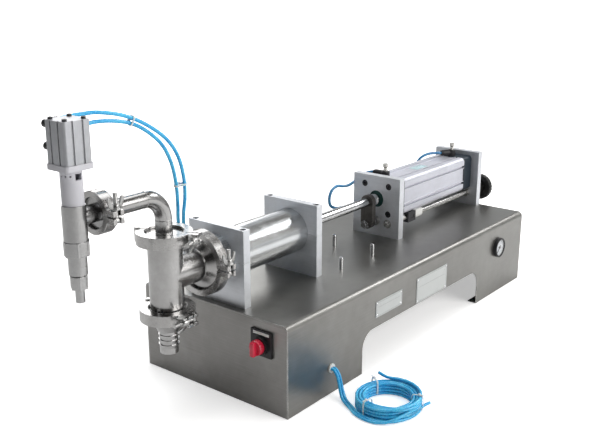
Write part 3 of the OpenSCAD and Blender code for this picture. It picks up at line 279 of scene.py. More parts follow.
mats["blue_tube"] = tube_material("blue_tube", (0.018, 0.36, 0.72), (0.10, 0.60, 0.88))
mats["blue_tube_dim"] = tube_material("blue_tube_dim", (0.03, 0.20, 0.42), (0.10, 0.34, 0.58))


def glass_material():
    m, n, bsdf = new_material("gauge_glass", IOR=1.46, Transmission_Weight=1.0,
                              Base_Color=(0.96, 0.98, 1.0))
    n.put(bsdf.inputs["Roughness"], n.span(n.noise(90, detail=3), 0.3, 0.8, 0.01, 0.09))
    return m


mats["gauge_glass"] = glass_material()


def two_tone(name, split, front, back):
    """Dark sensor housing and pale nut of the travelling carriage, parted at x = split."""
    m, n, bsdf = new_material(name, IOR=1.46)
    side = n.add("ShaderNodeSeparateXYZ", Vector=n.place())
    part = n.math("GREATER_THAN", side, split)
    cloud = n.noise(40, detail=4, rough=0.6)
    skin = n.noise(1500, detail=2)
    tone = n.span(cloud, 0.35, 0.65, 0.82, 1.0)
    colour = n.mix(part, front, back)
    n.put(bsdf.inputs["Base Color"], n.mix(tone, (0.03, 0.03, 0.03), colour))
    n.put(bsdf.inputs["Roughness"], n.span(cloud, 0.3, 0.7, 0.36, 0.48))
    n.put(bsdf.inputs["Normal"], n.add("ShaderNodeBump", Height=skin, Strength=0.15,
                                       Distance=0.0003))
    return m


CARRIAGE_SPLIT = 0.156      # where the sensor housing ends and the nut starts, in metres along x
mats["carriage"] = two_tone("carriage", CARRIAGE_SPLIT, (0.035, 0.035, 0.04), (0.86, 0.86, 0.84))

node_material = {
    "base_cover": "sheet_steel", "end_panels": "sheet_steel_dark", "info_plates": "plate_white",
    "standoff_pins": "chrome_rod", "block_lowers": "plate_aluminium",
    "block_uppers": "plate_aluminium", "cylinder_front_plate": "plate_aluminium",
    "cylinder_rear_plate": "plate_aluminium", "air_barrel": "anodised_aluminium",
    "head_cylinder": "head_aluminium", "head_connector": "connector_alloy",
    "product_cylinder": "polished_tube", "valve_tee": "tee_steel", "elbow_pipe": "tee_steel",
    "inlet_reducer": "tee_steel", "pipe_clamps": "clamp_steel", "clamp_bolts": "clamp_steel",
    "head_body": "head_steel", "head_nuts": "head_steel", "nozzle_sleeve": "head_steel",
    "nozzle_tip": "head_steel", "check_valve_cages": "head_steel",
    "plain_bushes": "bush_grey", "stroke_carriage": "carriage",
}
slot_of = {s["node"]: s["material_slot"] for s in frame["record"]["subparts"]}
for name, ob in nodes.items():
    m = mats.get(node_material.get(name, slot_of.get(name)), mats["head_steel"])
    ob.data.materials.clear()
    ob.data.materials.append(m)


# ---------------------------------------------------------------- mesh helpers
def finish_mesh(name, bm, mat, body, smooth=35):
    bmesh.ops.recalc_face_normals(bm, faces=bm.faces)
    me = bpy.data.meshes.new(name)
    bm.to_mesh(me)
    bm.free()
    me.materials.append(mats[mat])
    ob = bpy.data.objects.new(name, me)
    bpy.context.collection.objects.link(ob)
    if smooth:
        me.polygons.foreach_set("use_smooth", [True] * len(me.polygons))
        me.set_sharp_from_angle(angle=math.radians(smooth))
    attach(ob, body)
    return ob


def frame_at(origin, axis, ref):
    """Matrix at origin (mm), with local Z along axis and local X as near to ref as it goes."""
    z = Vector(axis).normalized()
    r = Vector(ref)
    x = (r - z * r.dot(z)).normalized()
    y = z.cross(x)
    m = Matrix((x, y, z)).transposed().to_4x4()
    m.translation = Vector(origin)
    return m


def add_lathe(bm, profile, mat4, seg=48, closed=False):
    """Revolves (radius, height) points about local Z. Radius 0 ends close the shape."""
    rings = []
    for r, h in profile:
        if r <= 1e-6:
            rings.append([bm.verts.new(mat4 @ Vector((0, 0, h)) * MM)])
        else:
            turns = [2 * math.pi * k / seg for k in range(seg)]
            rings.append([bm.verts.new(mat4 @ Vector((r * math.cos(a), r * math.sin(a), h)) * MM)
                          for a in turns])
    pairs = list(zip(rings, rings[1:])) + ([(rings[-1], rings[0])] if closed else [])
    for a, b in pairs:
        for k in range(seg):
            j = (k + 1) % seg
            if len(a) == 1 and len(b) == 1:
                continue
            if len(a) == 1:
                bm.faces.new((a[0], b[j], b[k]))
            elif len(b) == 1:
                bm.faces.new((a[k], a[j], b[0]))
            else:
                bm.faces.new((a[k], a[j], b[j], b[k]))


def add_box(bm, lo, hi, mat4=None, bevel=0.0, seg=2):
    vs = [bm.verts.new(Vector((x, y, z))) for x in (lo[0], hi[0]) for y in (lo[1], hi[1])
          for z in (lo[2], hi[2])]
    quads = [(0, 1, 3, 2), (4, 6, 7, 5), (0, 4, 5, 1), (2, 3, 7, 6), (0, 2, 6, 4), (1, 5, 7, 3)]
    fs = [bm.faces.new([vs[i] for i in q]) for q in quads]
    new = vs
    if bevel:
        es = {e for f in fs for e in f.edges}
        out = bmesh.ops.bevel(bm, geom=list(es), offset=bevel, segments=seg, affect="EDGES",
                              profile=0.5)
        new = list({v for f in out["faces"] for v in f.verts} | {v for v in vs if v.is_valid})
    mat4 = mat4 or Matrix.Identity(4)
    for v in new:
        v.co = (mat4 @ v.co) * MM


def add_tube(bm, path, r, seg, close=False):
    """Round tube along path points (mm), rings square to the path."""
    pts = [Vector(p) for p in path]
    n = len(pts)
    u = None
    rings = []
    for i, p in enumerate(pts):
        a = pts[(i - 1) % n] if close else pts[max(i - 1, 0)]
        b = pts[(i + 1) % n] if close else pts[min(i + 1, n - 1)]
        t = (b - a).normalized()
        if u is None:
            u = Z if abs(t.z) < 0.9 else X
        u = (u - t * u.dot(t)).normalized()
        v = t.cross(u)
        rings.append([bm.verts.new((p + u * (r * math.cos(2 * math.pi * k / seg))
                                    + v * (r * math.sin(2 * math.pi * k / seg))) * MM)
                      for k in range(seg)])
    pairs = list(zip(rings, rings[1:])) + ([(rings[-1], rings[0])] if close else [])
    for a, b in pairs:
        for k in range(seg):
            j = (k + 1) % seg
            bm.faces.new((a[k], a[j], b[j], b[k]))
    if not close:
        bm.faces.new(rings[0][::-1])
        bm.faces.new(rings[-1])


THREAD_ROWS = 4             # rings of a thread for each pitch


def add_thread(bm, mat4, length, r, depth, pitch, seg):
    """Round bar along local Z with a right-handed thread cut into it."""
    rows = int(round(length / pitch * THREAD_ROWS)) + 1
    rings = []
    for i in range(rows):
        h = length * i / (rows - 1)
        ring = []
        for k in range(seg):
            ph = (h / pitch - k / seg) % 1.0
            cut = depth * abs(2 * ph - 1)
            fade = min(1.0, h / pitch, (length - h) / pitch)
            a = 2 * math.pi * k / seg
            rr = r - cut * fade
            ring.append(bm.verts.new(mat4 @ Vector((rr * math.cos(a), rr * math.sin(a), h)) * MM))
        rings.append(ring)
    for a, b in zip(rings, rings[1:]):
        for k in range(seg):
            j = (k + 1) % seg
            bm.faces.new((a[k], a[j], b[j], b[k]))
    bm.faces.new(rings[0][::-1])
    bm.faces.new(rings[-1])


def catmull(pts, steps):
    """Smooth curve through pts, with steps points for each stretch between two of them."""
    out = []
    n = len(pts)
    for i in range(n - 1):
        a, b = Vector(pts[max(i - 1, 0)]), Vector(pts[i])
        c, d = Vector(pts[i + 1]), Vector(pts[min(i + 2, n - 1)])
        for j in range(steps):
            t = j / steps
            out.append(0.5 * (2 * b + (c - a) * t + (2 * a - 5 * b + 4 * c - d) * t * t
                              + (3 * b - a - 3 * c + d) * t ** 3))
    out.append(Vector(pts[-1]))
    return out


def tube_curve(name, pts, d, mat):
    """Round tube of diameter d along pts (mm), fixed to the machine."""
    cu = bpy.data.curves.new(name, "CURVE")
    cu.dimensions = "3D"
    cu.bevel_depth = d / 2 * MM
    cu.bevel_resolution = 5
    cu.use_fill_caps = True
    sp = cu.splines.new("POLY")
    sp.points.add(len(pts) - 1)
    for q, p in zip(sp.points, pts):
        q.co = (p[0] * MM, p[1] * MM, p[2] * MM, 1)
    sp.use_smooth = True
    cu.materials.append(mats[mat])
    ob = bpy.data.objects.new(name, cu)
    bpy.context.collection.objects.link(ob)
    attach(ob, "machine")
    return ob


# ---------------------------------------------------------------- supply tubes and their coil
GX, GZ, SIDE_Y = -298.0, 46.0, -160.0
COIL = (-275.0, -258.0)
COIL_OD, COIL_ID, SUPPLY_D, TWIN = 110.0, 74.0, 5.0, 2.7
LAY_R = COIL_OD / 2 + SUPPLY_D / 2 + TWIN + 0.3
LIE_Z = 2.6                 # middle of a tube that lies on the bench
COL_GAP, ROW_GAP = 5.6, 5.25
LAY_FROM, LAY_TO, LAY_STEP, LAY_END = 142, 195, 13, 194.0
TURN_STEP, SLOT_CHANGE = 15.0, 60.0
# from the grommet to the bench: x, y, z, and the degrees that the pair is turned there
LEAD = [(0, 8, 0, 0), (0, 2, 0, 0), (0, -4, 0, 0), (0, -9, -1.5, 0), (0, -15, -10, 0),
        (0, -19, -24, 4), (-3, -25, -36, 22), (-12, -37, -41.5, 36)]
COLS = [COIL_ID / 2 + 3.4 + COL_GAP * i for i in range(3)]
ROWS = [LIE_Z + ROW_GAP * i for i in range(5)]


def coil_point(angle, r, z):
    """Point of the coil, with the slight unevenness of tube wound by hand."""
    a = math.radians(angle)
    rr = r * (1 + 0.010 * math.cos(2 * a + 0.6))
    zz = z if z < 3 else z + 0.035 * (z - LIE_Z) * math.sin(a * 2 + 1.1)
    return (COIL[0] + rr * math.cos(a), COIL[1] + rr * math.sin(a), zz)


def supply_route(s, slots, tail):
    """One of the twin tubes (s is 1 or -1): lead, lay round the coil, its slots, loose end."""
    lead = [(GX + p[0] + TWIN * s * math.cos(math.radians(p[3])),
             SIDE_Y + p[1] - TWIN * s * math.sin(math.radians(p[3])), GZ + p[2]) for p in LEAD]
    r0 = LAY_R - TWIN * s
    arc = [(COIL[0] + r0 * math.cos(math.radians(a)), COIL[1] + r0 * math.sin(math.radians(a)),
            LIE_Z) for a in range(LAY_FROM, LAY_TO, LAY_STEP)]
    pts = catmull(lead + arc, 4)
    # from the lay into the coil's slots, changing slot over the first SLOT_CHANGE degrees
    angle, r, z = LAY_END, r0, LIE_Z
    for (c, row), turn in slots:
        r1, z1 = COLS[c], ROWS[row]
        n = int(turn / TURN_STEP)
        for i in range(1, n + 1):
            f = min(1.0, i * TURN_STEP / SLOT_CHANGE)
            f = f * f * (3 - 2 * f)
            pts.append(Vector(coil_point(angle + i * TURN_STEP, r + (r1 - r) * f,
                                         z + (z1 - z) * f)))
        angle += n * TURN_STEP
        r, z = r1, z1
    a = math.radians(angle)
    last = pts[-1]
    t = Vector((-math.sin(a), math.cos(a), 0))
    out = Vector((math.cos(a), math.sin(a), 0))
    for along, off, up in tail:
        pts.append(last + t * along + out * off + Z * up)
    return pts


# (column, row) of the coil's section, and the degrees turned there
SLOTS_A = [((2, 0), 360), ((1, 0), 360), ((0, 0), 360), ((0, 1), 360), ((1, 1), 360),
           ((2, 1), 360), ((2, 1), 90)]
SLOTS_B = [((2, 2), 360), ((1, 2), 360), ((0, 2), 360), ((0, 3), 360), ((1, 3), 360),
           ((2, 3), 360), ((2, 4), 195)]
route_a = supply_route(1, SLOTS_A, [(8, 2.5, 0), (16, 6, 0.5), (23, 10.5, 1.2)])
route_b = supply_route(-1, SLOTS_B, [(7, 0.5, 1.0), (14, 2.5, 3.2), (21, 5.5, 6.0)])
supply_a = tube_curve("supply_tube_a", route_a, SUPPLY_D, "blue_tube")
supply_b = tube_curve("supply_tube_b", route_b, SUPPLY_D, "blue_tube")
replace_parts(supply_a, "supply_tubes", "supply_coil")
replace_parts(supply_b, "supply_tubes", "supply_coil")


TIE_POINTS, TIE_SQUARENESS = 40, 5


def coil_tie(name, angle):
    """Clear band round the coil's bundle with a small head."""
    a = math.radians(angle)
    out = Vector((math.cos(a), math.sin(a), 0))
    c = Vector((COIL[0], COIL[1], 0))
    r1, r2, z1, z2 = COIL_ID / 2 - 0.2, COIL_OD / 2 + 0.9, 0.6, ROWS[-1] + 3.4
    loop = []
    for i in range(TIE_POINTS):
        t = 2 * math.pi * i / TIE_POINTS
        ct, st = math.cos(t), math.sin(t)
        k = TIE_SQUARENESS
        rr = (abs(ct) ** k + abs(st) ** k) ** (-1 / k)
        loop.append(c + out * ((r1 + r2) / 2 + (r2 - r1) / 2 * rr * ct)
                    + Z * ((z1 + z2) / 2 + (z2 - z1) / 2 * rr * st))
    bm = bmesh.new()
    side = Vector((-math.sin(a), math.cos(a), 0))
    for off in (-0.9, 0, 0.9):
        add_tube(bm, [p + side * off for p in loop], 0.55, seg=6, close=True)
    head = frame_at(c + out * ((r1 + r2) / 2 + 3) + Z * (z2 + 0.8), Z, side)
    add_box(bm, (-2.2, -1.9, -1.2), (2.2, 1.9, 1.6), head, bevel=0.5)
    add_box(bm, (-1.0, -8.5, -0.2), (1.0, -1.5, 0.5), head, bevel=0.2)
    return finish_mesh(name, bm, "clear_tie", "machine")


ties = [coil_tie("coil_tie_%d" % i, a) for i, a in enumerate((62, 168, 292))]


# ---------------------------------------------------------------- tubes between fittings
HX, HY, PIPE_Z, BASE_Z = -670.0, 33.0, 357.0, 155.0
PORT_Z = (452.0, 482.0)
ELBOW_UP = (26, 10)
BULKHEADS = ((-365, 82), (-365, 97), (118, 76), (292, 64))


def elbow_out(i):
    """Straight start of a head tube, out of elbow fitting i."""
    a = math.radians(ELBOW_UP[i])
    return [(HX + d * math.cos(a), HY, PORT_Z[i] + d * math.sin(a)) for d in (9, 13, 18, 26)]


def drop(p, heights):
    """Points straight above bulkhead p, at these heights over the base."""
    return [(p[0], p[1], BASE_Z + h) for h in heights]


def shifted(rows, at):
    return [tuple(a + b for a, b in zip(row, at)) for row in rows]


DOWN = (72, 45, 22, 11, 4)
HEAD_A = elbow_out(1) + shifted(
    [(57, 2, 130), (88, 3, 128), (134, 5, 117), (178, 8, 97), (219, 12, 69), (246, 17, 37),
     (261, 22, 0), (267, 27, -34), (269, 34, -66), (279, 43, -96)],
    (HX, HY, PIPE_Z)) + drop(BULKHEADS[0], DOWN)
HEAD_B = elbow_out(0) + shifted(
    [(48, 1, 111), (72, 2, 116), (110, 4, 113), (149, 7, 103), (184, 11, 84), (215, 16, 58),
     (237, 22, 24), (251, 29, -14), (259, 36, -48), (268, 46, -82), (284, 56, -112)],
    (HX, HY, PIPE_Z)) + drop(BULKHEADS[1], DOWN)
PX, FZ, REAR_TURN = (95.0, 366.0), 276.5, math.radians(150)     # flow-control ports
B2, B3 = BULKHEADS[2], BULKHEADS[3]
FLOW_A = shifted(
    [(0, 16, 0), (0, 22, 0), (0, 28, 0), (-1, 36, -1), (-4, 50, -7), (-13, 61, -19),
     (-30, 68, -28), (-49, 70, -27), (-66, 72, -24), (-82, 73, -30), (-89, 74, -45),
     (-84, 75, -61), (-68, 76, -70)], (PX[0], 0, FZ)) + shifted(
    [(-74, 0, 48), (-50, 0, 46), (-27, 0, 45), (-10, 0, 38), (-1.5, 0, 28), (0, 0, 19),
     (0, 0, 12), (0, 0, 4)], (B2[0], B2[1], BASE_Z))
FLOW_B = [(PX[1] + d * math.cos(REAR_TURN), d * math.sin(REAR_TURN), FZ + (d == 38))
          for d in (16, 22, 28, 38)]
FLOW_B += [(PX[1] - 50, 31, FZ), (PX[1] - 63, 41, FZ - 7), (B3[0] + 5, 49, FZ - 22),
           (B3[0] + 1, 56, FZ - 46), (B3[0], 62, FZ - 74)] + drop(B3, (22, 11, 4))


def tube_tie(name, at_a, at_b):
    """Clear band round both head tubes, square to them, with its head outside."""
    a, b = Vector(at_a[0]), Vector(at_b[0])
    along = (Vector(at_a[1]) - a).normalized()
    b = b - along * (b - a).dot(along)
    across = (a - b).normalized()
    out = across.cross(along)
    loop = []
    for centre, start in ((a, -90), (b, 90)):
        for k in range(9):
            t = math.radians(start + 22.5 * k)
            loop.append(centre + (across * math.cos(t) + out * math.sin(t)) * 3.8)
    bm = bmesh.new()
    for off in (-1.0, 0.0, 1.0):
        add_tube(bm, [p + along * off for p in loop], 0.7, seg=6, close=True)
    head = frame_at((a + b) / 2 + out * 5.0, out, along)
    add_box(bm, (-2.2, -2.0, -0.8), (2.2, 2.0, 2.4), head, bevel=0.5)
    add_box(bm, (-0.8, -9.0, -0.2), (0.8, -1.0, 0.5), head, bevel=0.2)
    return finish_mesh(name, bm, "clear_tie", "machine")


AIR_D, AIR_STEPS = 6.0, 6
TIE_AT = (38, 62)           # points of the upper head tube that carry a tie
upper, lower = catmull(HEAD_A, AIR_STEPS), catmull(HEAD_B, AIR_STEPS)
for i, k in enumerate(TIE_AT):
    near = min(range(len(lower) - 1), key=lambda q: (lower[q] - upper[k]).length)
    tube_tie("head_tube_tie_%d" % i, upper[k:k + 2], lower[near:near + 2])
for name, route, node, mat in (
        ("head_tube_upper", HEAD_A, "head_air_tubes", "blue_tube"),
        ("head_tube_lower", HEAD_B, "head_air_tubes", "blue_tube"),
        ("flow_tube_front", FLOW_A, "flow_tubes", "blue_tube_dim"),
        ("flow_tube_rear", FLOW_B, "flow_tubes", "blue_tube_dim")):
    pts = catmull(route, AIR_STEPS)
    ob = tube_curve(name, pts, AIR_D, mat)
    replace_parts(ob, node)


# ---------------------------------------------------------------- clamp bolts and wing nuts
CLAMPS = {}                 # frame of each swing bolt, local Z along the bolt
VALVE_X, CYL_Z, BOLT_OUT = -505, 231, 8
tilt = math.radians(24)     # turn of the outlet clamp about the valve's axis
for name, origin, od, xdir, ydir in (
        ("head", (-624, 0, 357), 62, (0, -1, 0), (0, 0, 1)),
        ("outlet", (VALVE_X, 0, 292.75), 86, (math.sin(tilt), -math.cos(tilt), 0),
         (-math.cos(tilt), -math.sin(tilt), 0)),
        ("inlet", (VALVE_X, 0, 171.25), 86, (0, -1, 0), (-1, 0, 0)),
        ("cylinder", (-430.75, 0, CYL_Z), 106, (0, -1, 0), (0, 0, 1))):
    at = Vector(origin) + Vector(xdir) * (od / 2 + BOLT_OUT)
    CLAMPS[name] = frame_at(at, ydir, xdir)

bm = bmesh.new()
for m4 in CLAMPS.values():
    add_thread(bm, m4 @ Matrix.Translation((0, 0, -1)), 35, 3.3, 0.45, 1.5, seg=18)
    eye = frame_at(m4 @ Vector((0, 0, -5.5)), m4.to_3x3() @ Vector((0, 1, 0)),
                   m4.to_3x3() @ Vector((1, 0, 0)))
    # the bolt's eye, its hinge pin, and the shank between eye and thread
    add_lathe(bm, [(0, -3.8), (3.2, -3.8), (4.0, -3.1), (4.0, 3.1), (3.2, 3.8), (0, 3.8)], eye,
              seg=24)
    add_lathe(bm, [(0, -9.5), (1.6, -9.5), (2.0, -9.0), (2.0, 9.0), (1.6, 9.5), (0, 9.5)], eye,
              seg=16)
    add_lathe(bm, [(0, -5.0), (2.6, -5.0), (3.0, -1.0), (2.9, 0.5), (0, 0.5)], m4, seg=20)
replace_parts(finish_mesh("clamp_bolts_threaded", bm, "cast_nut", "machine"),
            "clamp_bolts")

# outline of one wing: distance from the nut's axis, height along it
WING_MID = (8.4, 18.5)
WING = [(3.5, 10.2), (8.2, 11.2), (11.6, 15.5), (13.2, 20.5), (13.8, 25.5), (12.6, 27.9),
        (10.4, 27.6), (8.9, 24.6), (7.6, 20.2), (5.8, 17.8), (3.5, 17.2)]


def add_wing(bm, m4, side):
    """One cast wing: an outline in the plane of the nut's axis, thicker at its root."""
    rows = []
    for t, shrink in ((-1, 0.86), (-0.75, 1.0), (0.75, 1.0), (1, 0.86)):
        row = []
        cx, cy = WING_MID
        for x, h in WING:
            half = 2.5 - 0.075 * x
            px, ph = cx + (x - cx) * shrink, cy + (h - cy) * shrink
            row.append(bm.verts.new(m4 @ Vector((t * half, side * px, ph)) * MM))
        rows.append(row)
    n = len(WING)
    for a, b in zip(rows, rows[1:]):
        for k in range(n):
            j = (k + 1) % n
            bm.faces.new((a[k], a[j], b[j], b[k]))
    bm.faces.new(rows[0][::-1])
    bm.faces.new(rows[-1])


for name, m4 in CLAMPS.items():
    bm = bmesh.new()
    add_lathe(bm, [(3.45, 9.7), (6.4, 9.7), (7.0, 10.3), (7.0, 11.6), (6.3, 12.4), (5.9, 16.8),
                   (5.2, 18.6), (4.4, 19.2), (3.45, 19.2)], m4, seg=40, closed=True)
    for side in (-1, 1):
        add_wing(bm, m4, side)
    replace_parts(finish_mesh("wing_nut_cast_" + name, bm, "cast_nut", name + "_wing_nut"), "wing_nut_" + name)


# ---------------------------------------------------------------- adjusting spindle
SP_Y, SP_Z, SP_R = -28.0, 183.0, 6.0
THREAD_X, THREAD_LEN, THREAD_DEPTH, THREAD_PITCH = 90, 294.5, 0.75, 4.0
bm = bmesh.new()
axis_x = frame_at((0, SP_Y, SP_Z), X, Y)
for x1, x2 in ((58, 90.5), (384, 466)):
    add_lathe(bm, [(0, x1), (SP_R - 0.8, x1), (SP_R, x1 + 0.8), (SP_R, x2 - 0.4),
                   (SP_R - 0.4, x2), (0, x2)], axis_x, seg=40)
for x1 in (80.2, 385.8, 408.2):
    add_lathe(bm, [(5.5, x1), (8.5, x1), (9, x1 + 0.5), (9, x1 + 5.5), (8.5, x1 + 6),
                   (5.5, x1 + 6)], axis_x, seg=48, closed=True)
add_thread(bm, axis_x @ Matrix.Translation((0, 0, THREAD_X)), THREAD_LEN, SP_R, THREAD_DEPTH,
           THREAD_PITCH, seg=28)
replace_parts(finish_mesh("spindle_threaded", bm, "spindle_steel", "spindle"),
            "adjusting_spindle")


# ---------------------------------------------------------------- selector and gauge
SEL = frame_at((-410, -109, 113), -X, Z)
KNOB_SEG, FLUTED_FROM, FLUTE = 96, 12.2, 0.45


def knob_ring(bm, rad, h):
    """One ring of the knob; rings wider than FLUTED_FROM have their flutes cut in."""
    if not rad:
        return [bm.verts.new(SEL @ Vector((0, 0, h)) * MM)]
    ring = []
    for k in range(KNOB_SEG):
        a = 2 * math.pi * k / KNOB_SEG
        r = rad - (FLUTE if rad > FLUTED_FROM and k % 4 < 2 else 0)
        ring.append(bm.verts.new(SEL @ Vector((r * math.cos(a), r * math.sin(a), h)) * MM))
    return ring


bm = bmesh.new()
rows = [knob_ring(bm, rad, h) for rad, h in (
    (8.2, -11), (8.2, 9.0), (12.0, 9.4), (12.5, 10.2), (12.5, 17.0), (11.6, 18.6), (0, 19.0))]
for a, b in zip(rows, rows[1:]):
    for k in range(KNOB_SEG):
        j = (k + 1) % KNOB_SEG
        bm.faces.new((a[k], a[j], b[0]) if len(b) == 1 else (a[k], a[j], b[j], b[k]))
bm.faces.new(rows[0][::-1])
add_box(bm, (-12.0, -4.4, 17.5), (12.0, 4.4, 26.8), SEL, bevel=2.2, seg=4)
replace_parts(finish_mesh("selector_lever", bm, "red_plastic", "selector"),
            "selector_knob")
bm = bmesh.new()
add_box(bm, (-413.9, -125.4, 130.6), (-413.3, -92.6, 135.4), bevel=0.2)
finish_mesh("selector_legend_strip", bm, "white_plastic", "machine")
bm = bmesh.new()
add_box(bm, (12.6, -0.7, 17.0), (16.2, 0.7, 17.6), SEL @ Matrix.Translation((-3.2, 0, 1.2)),
        bevel=0.2)
finish_mesh("selector_pointer", bm, "white_plastic", "selector")

GAUGE = frame_at((296, SIDE_Y, 102), -Y, X)
MARKS, MARK_STEP, MARK_FROM, MARK_LONG = 41, 6.75, -45, 5
MARK_Z, MARK_R = (3.35, 3.5), (15.8, 16.1)
bm = bmesh.new()
add_lathe(bm, [(0, 6.2), (17.0, 6.2), (17.9, 6.0), (17.9, 6.5), (17.0, 6.8), (0, 6.8)], GAUGE,
          seg=64)
finish_mesh("gauge_lens", bm, "gauge_glass", "machine")
bm = bmesh.new()
add_lathe(bm, [(17.95, 5.6), (18.6, 5.6), (18.6, 7.15), (18.2, 7.4), (17.4, 7.2), (17.2, 6.9),
               (17.95, 6.85)], GAUGE, seg=72, closed=True)
add_lathe(bm, [(19.4, 7.0), (20.6, 7.0), (20.4, 7.5), (19.6, 7.5)], GAUGE, seg=72, closed=True)
finish_mesh("gauge_ring", bm, "black_plastic", "machine")
bm = bmesh.new()
for k in range(MARKS):
    turn = GAUGE @ Matrix.Rotation(math.radians(MARK_FROM + MARK_STEP * k), 4, "Z")
    inner, half = (12.6, 0.32) if k % MARK_LONG == 0 else (14.0, 0.16)
    add_box(bm, (inner, -half, MARK_Z[0]), (MARK_R[0], half, MARK_Z[1]), turn)
add_lathe(bm, [(r, h) for r, h in ((MARK_R[0], MARK_Z[0]), (MARK_R[1], MARK_Z[0]),
                                   (MARK_R[1], MARK_Z[1]), (MARK_R[0], MARK_Z[1]))],
          GAUGE, seg=96, closed=True)
finish_mesh("gauge_scale_marks", bm, "needle_black", "machine", smooth=0)


# ---------------------------------------------------------------- check-valve springs
SPRING_R, SPRING_WIRE_R, SPRING_HALF_TURNS, SPRING_STEPS = 7.5, 0.98, 9, 108
SPRING_FROM, SPRING_LEN = 12.2, 22.7
for name, z in (("suction", 177.0), ("discharge", 249.0)):
    helix = []
    for i in range(SPRING_STEPS + 1):
        a = SPRING_HALF_TURNS * math.pi * i / SPRING_STEPS
        helix.append((VALVE_X + SPRING_R * math.cos(a), SPRING_R * math.sin(a),
                      z + SPRING_FROM + SPRING_LEN * i / SPRING_STEPS))
    bm = bmesh.new()
    add_tube(bm, helix, SPRING_WIRE_R, seg=10)
    coil = finish_mesh(name + "_spring_coil", bm, "spring_steel", "machine")
    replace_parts(coil, name + "_spring")
    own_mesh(coil)


# ---------------------------------------------------------------- small surface pieces
INK_Y = (-160.9, -160.78)
bm = bmesh.new()
inks = bmesh.new()
for x, z, w, h in ((-170, 92, 84, 29), (-35, 76, 111, 49)):     # the two blank plates
    for cx, cz in ((x + 4, z + 4), (x + w - 4, z + 4), (x + 4, z + h - 4), (x + w - 4, z + h - 4)):
        add_lathe(bm, [(2.1, 0.7), (2.1, 1.0), (1.7, 1.5), (0.9, 1.8), (0, 1.9)],
                  frame_at((cx, SIDE_Y, cz), -Y, X), seg=20)
    for a, b in (((2, 2), (w - 2, 2.5)), ((2, h - 2.5), (w - 2, h - 2)), ((2, 2), (2.5, h - 2)),
                 ((w - 2.5, 2), (w - 2, h - 2)), ((8, h * 0.62), (w - 8, h * 0.62 + 0.4))):
        add_box(inks, (x + a[0], INK_Y[0], z + a[1]), (x + b[0], INK_Y[1], z + b[1]))
finish_mesh("plate_rivets", bm, "chrome_rod", "machine")
finish_mesh("plate_border_lines", inks, "ink_grey", "machine", smooth=0)

bm = bmesh.new()
add_box(bm, (202, -11, 266.9), (246, 11, 267.15), bevel=0.08)
finish_mesh("barrel_blank_label", bm, "pale_blue", "machine")


BEAD_SEG, BEAD_SIDES = 72, 8


def add_bead(bm, m4, rad, h, size):
    """Weld bead: a small ring whose height ripples round the joint."""
    rings = []
    for k in range(BEAD_SEG):
        a = 2 * math.pi * k / BEAD_SEG
        ripple = size * (0.85 + 0.3 * rng.random())
        c = Vector((rad * math.cos(a), rad * math.sin(a), h + rng.uniform(-0.15, 0.15)))
        out = Vector((math.cos(a), math.sin(a), 0))
        ring = []
        for q in range(BEAD_SIDES):
            t = 2 * math.pi * q / BEAD_SIDES
            co = c + out * (ripple * math.cos(t)) + Z * (1.9 * size * math.sin(t))
            ring.append(bm.verts.new(m4 @ co * MM))
        rings.append(ring)
    for k in range(BEAD_SEG):
        a, b = rings[k], rings[(k + 1) % BEAD_SEG]
        for q in range(BEAD_SIDES):
            j = (q + 1) % BEAD_SIDES
            bm.faces.new((a[q], a[j], b[j], b[q]))


bm = bmesh.new()
up = frame_at((VALVE_X, 0, 0), Z, X)
for rad, h, size in ((26.5, 178.5, 0.45), (26.5, 285.5, 0.45), (13.0, 319, 0.4),
                     (13.0, 299.5, 0.4)):
    add_bead(bm, up, rad, h, size)
for x, z, rad, size in ((-447, CYL_Z, 27, 0.5), (-543, PIPE_Z, 13.0, 0.4),
                        (-619, PIPE_Z, 13.0, 0.4)):
    add_bead(bm, frame_at((x, 0, z), X, Y), rad, 0, size)
finish_mesh("pipe_weld_beads", bm, "tee_steel", "machine", smooth=80)


# ---------------------------------------------------------------- studio
def area_light(name, at, aim, size, power, colour=(1, 1, 1)):
    d = bpy.data.lights.new(name, "AREA")
    d.shape = "RECTANGLE"
    d.size, d.size_y = size
    d.energy = power
    d.color = colour
    ob = bpy.data.objects.new(name, d)
    ob.location = at
    ob.rotation_euler = (Vector(aim) - Vector(at)).to_track_quat("-Z", "Y").to_euler()
    bpy.context.collection.objects.link(ob)


area_light("key_side", (0.4, -2.6, 1.5), (0.0, 0, 0.2), (2.4, 1.6), 56, (1, 0.985, 0.97))
area_light("fill_front", (-2.9, 0.5, 1.5), (-0.3, 0, 0.2), (1.0, 1.0), 3, (0.97, 0.985, 1))
area_light("bend_strip", (2.3, -0.85, 1.95), (0.0, -0.15, 0.15), (1.5, 0.7), 26)
area_light("top_soft", (0.1, 0.3, 2.8), (0, 0, 0), (2.6, 1.6), 36)
area_light("back_rim", (1.2, 2.6, 1.7), (0, 0, 0.2), (2.2, 1.2), 30)

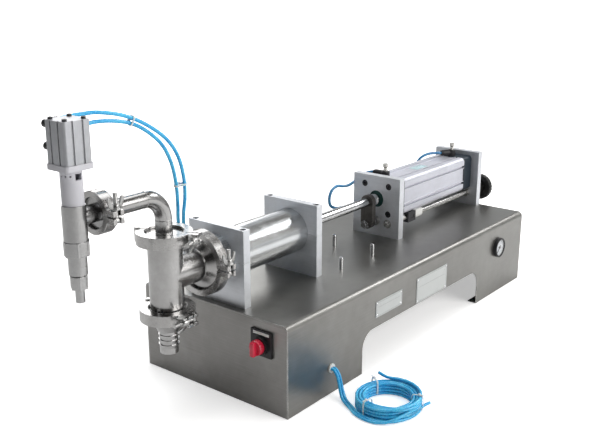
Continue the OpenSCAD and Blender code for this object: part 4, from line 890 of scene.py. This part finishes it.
world = bpy.data.worlds.new("studio")
bpy.context.scene.world = world
world.use_nodes = True
wt = world.node_tree
wn = Nodes(wt)
wt.nodes.clear()
way = wn.add("ShaderNodeTexCoord", out="Generated")
spread = wn.add("ShaderNodeMapping", Vector=way, Scale=(1.6, 1.6, 0.7), Location=(0.4, 1.2, 0.3))
patches = wn.add("ShaderNodeTexNoise", out="Fac", Vector=spread, Scale=1.7, Detail=2.0,
                 Roughness=0.5, Distortion=0.4)
height = wn.add("ShaderNodeSeparateXYZ", out=2, Vector=way)
glow = wn.math("MULTIPLY", wn.span(patches, 0.40, 0.62, 0.10, 1.0),
               wn.span(height, 0.0, 0.9, 1.0, 0.55))
ahead = wn.add("ShaderNodeSeparateXYZ", out=0, Vector=way)
glow = wn.math("MULTIPLY", glow, wn.span(ahead, -0.8, 0.1, 0.12, 0.9))
tint = wn.mix(wn.span(patches, 0.4, 0.6), (0.72, 0.62, 0.50), (0.94, 0.97, 1.0))
room = wn.add("ShaderNodeBackground", Color=tint, Strength=glow)
plain = wn.add("ShaderNodeBackground", Color=(1, 1, 1, 1), Strength=1.0)
seen = wn.add("ShaderNodeLightPath", out="Is Camera Ray")
both = wn.add("ShaderNodeMixShader", i0=seen, i1=room, i2=plain)
wt.links.new(both, wt.nodes.new("ShaderNodeOutputWorld").inputs["Surface"])

FLOOR_R, FLOOR_SEG, FLOOR_Z = 30.0, 64, -0.0005
bm = bmesh.new()
turns = [2 * math.pi * k / FLOOR_SEG for k in range(FLOOR_SEG)]
ring = [bm.verts.new((FLOOR_R * math.cos(a), FLOOR_R * math.sin(a), 0)) for a in turns]
bm.faces.new(ring)
me = bpy.data.meshes.new("studio_floor")
bm.to_mesh(me)
bm.free()
fm, fn, fb = new_material("floor_white", Roughness=0.9, Specular_IOR_Level=0.1,
                          Emission_Color=(1, 1, 1))
reach = fn.vmath("LENGTH", fn.place(), None, out="Value")
lift = fn.span(reach, 0.3, 2.2, 0.46, 1.0)      # the glow grows away from the machine
fn.put(fb.inputs["Emission Strength"],
       fn.math("MULTIPLY", lift, fn.add("ShaderNodeLightPath", out="Is Camera Ray")))
fn.put(fb.inputs["Base Color"],
       fn.mix(fn.noise(1.2, detail=2), (0.90, 0.90, 0.90), (0.93, 0.93, 0.93)))
me.materials.append(fm)
floor = bpy.data.objects.new("studio_floor", me)
floor.location = (0, 0, FLOOR_Z)
bpy.context.collection.objects.link(floor)
bpy.context.scene.view_settings.view_transform = "Standard"
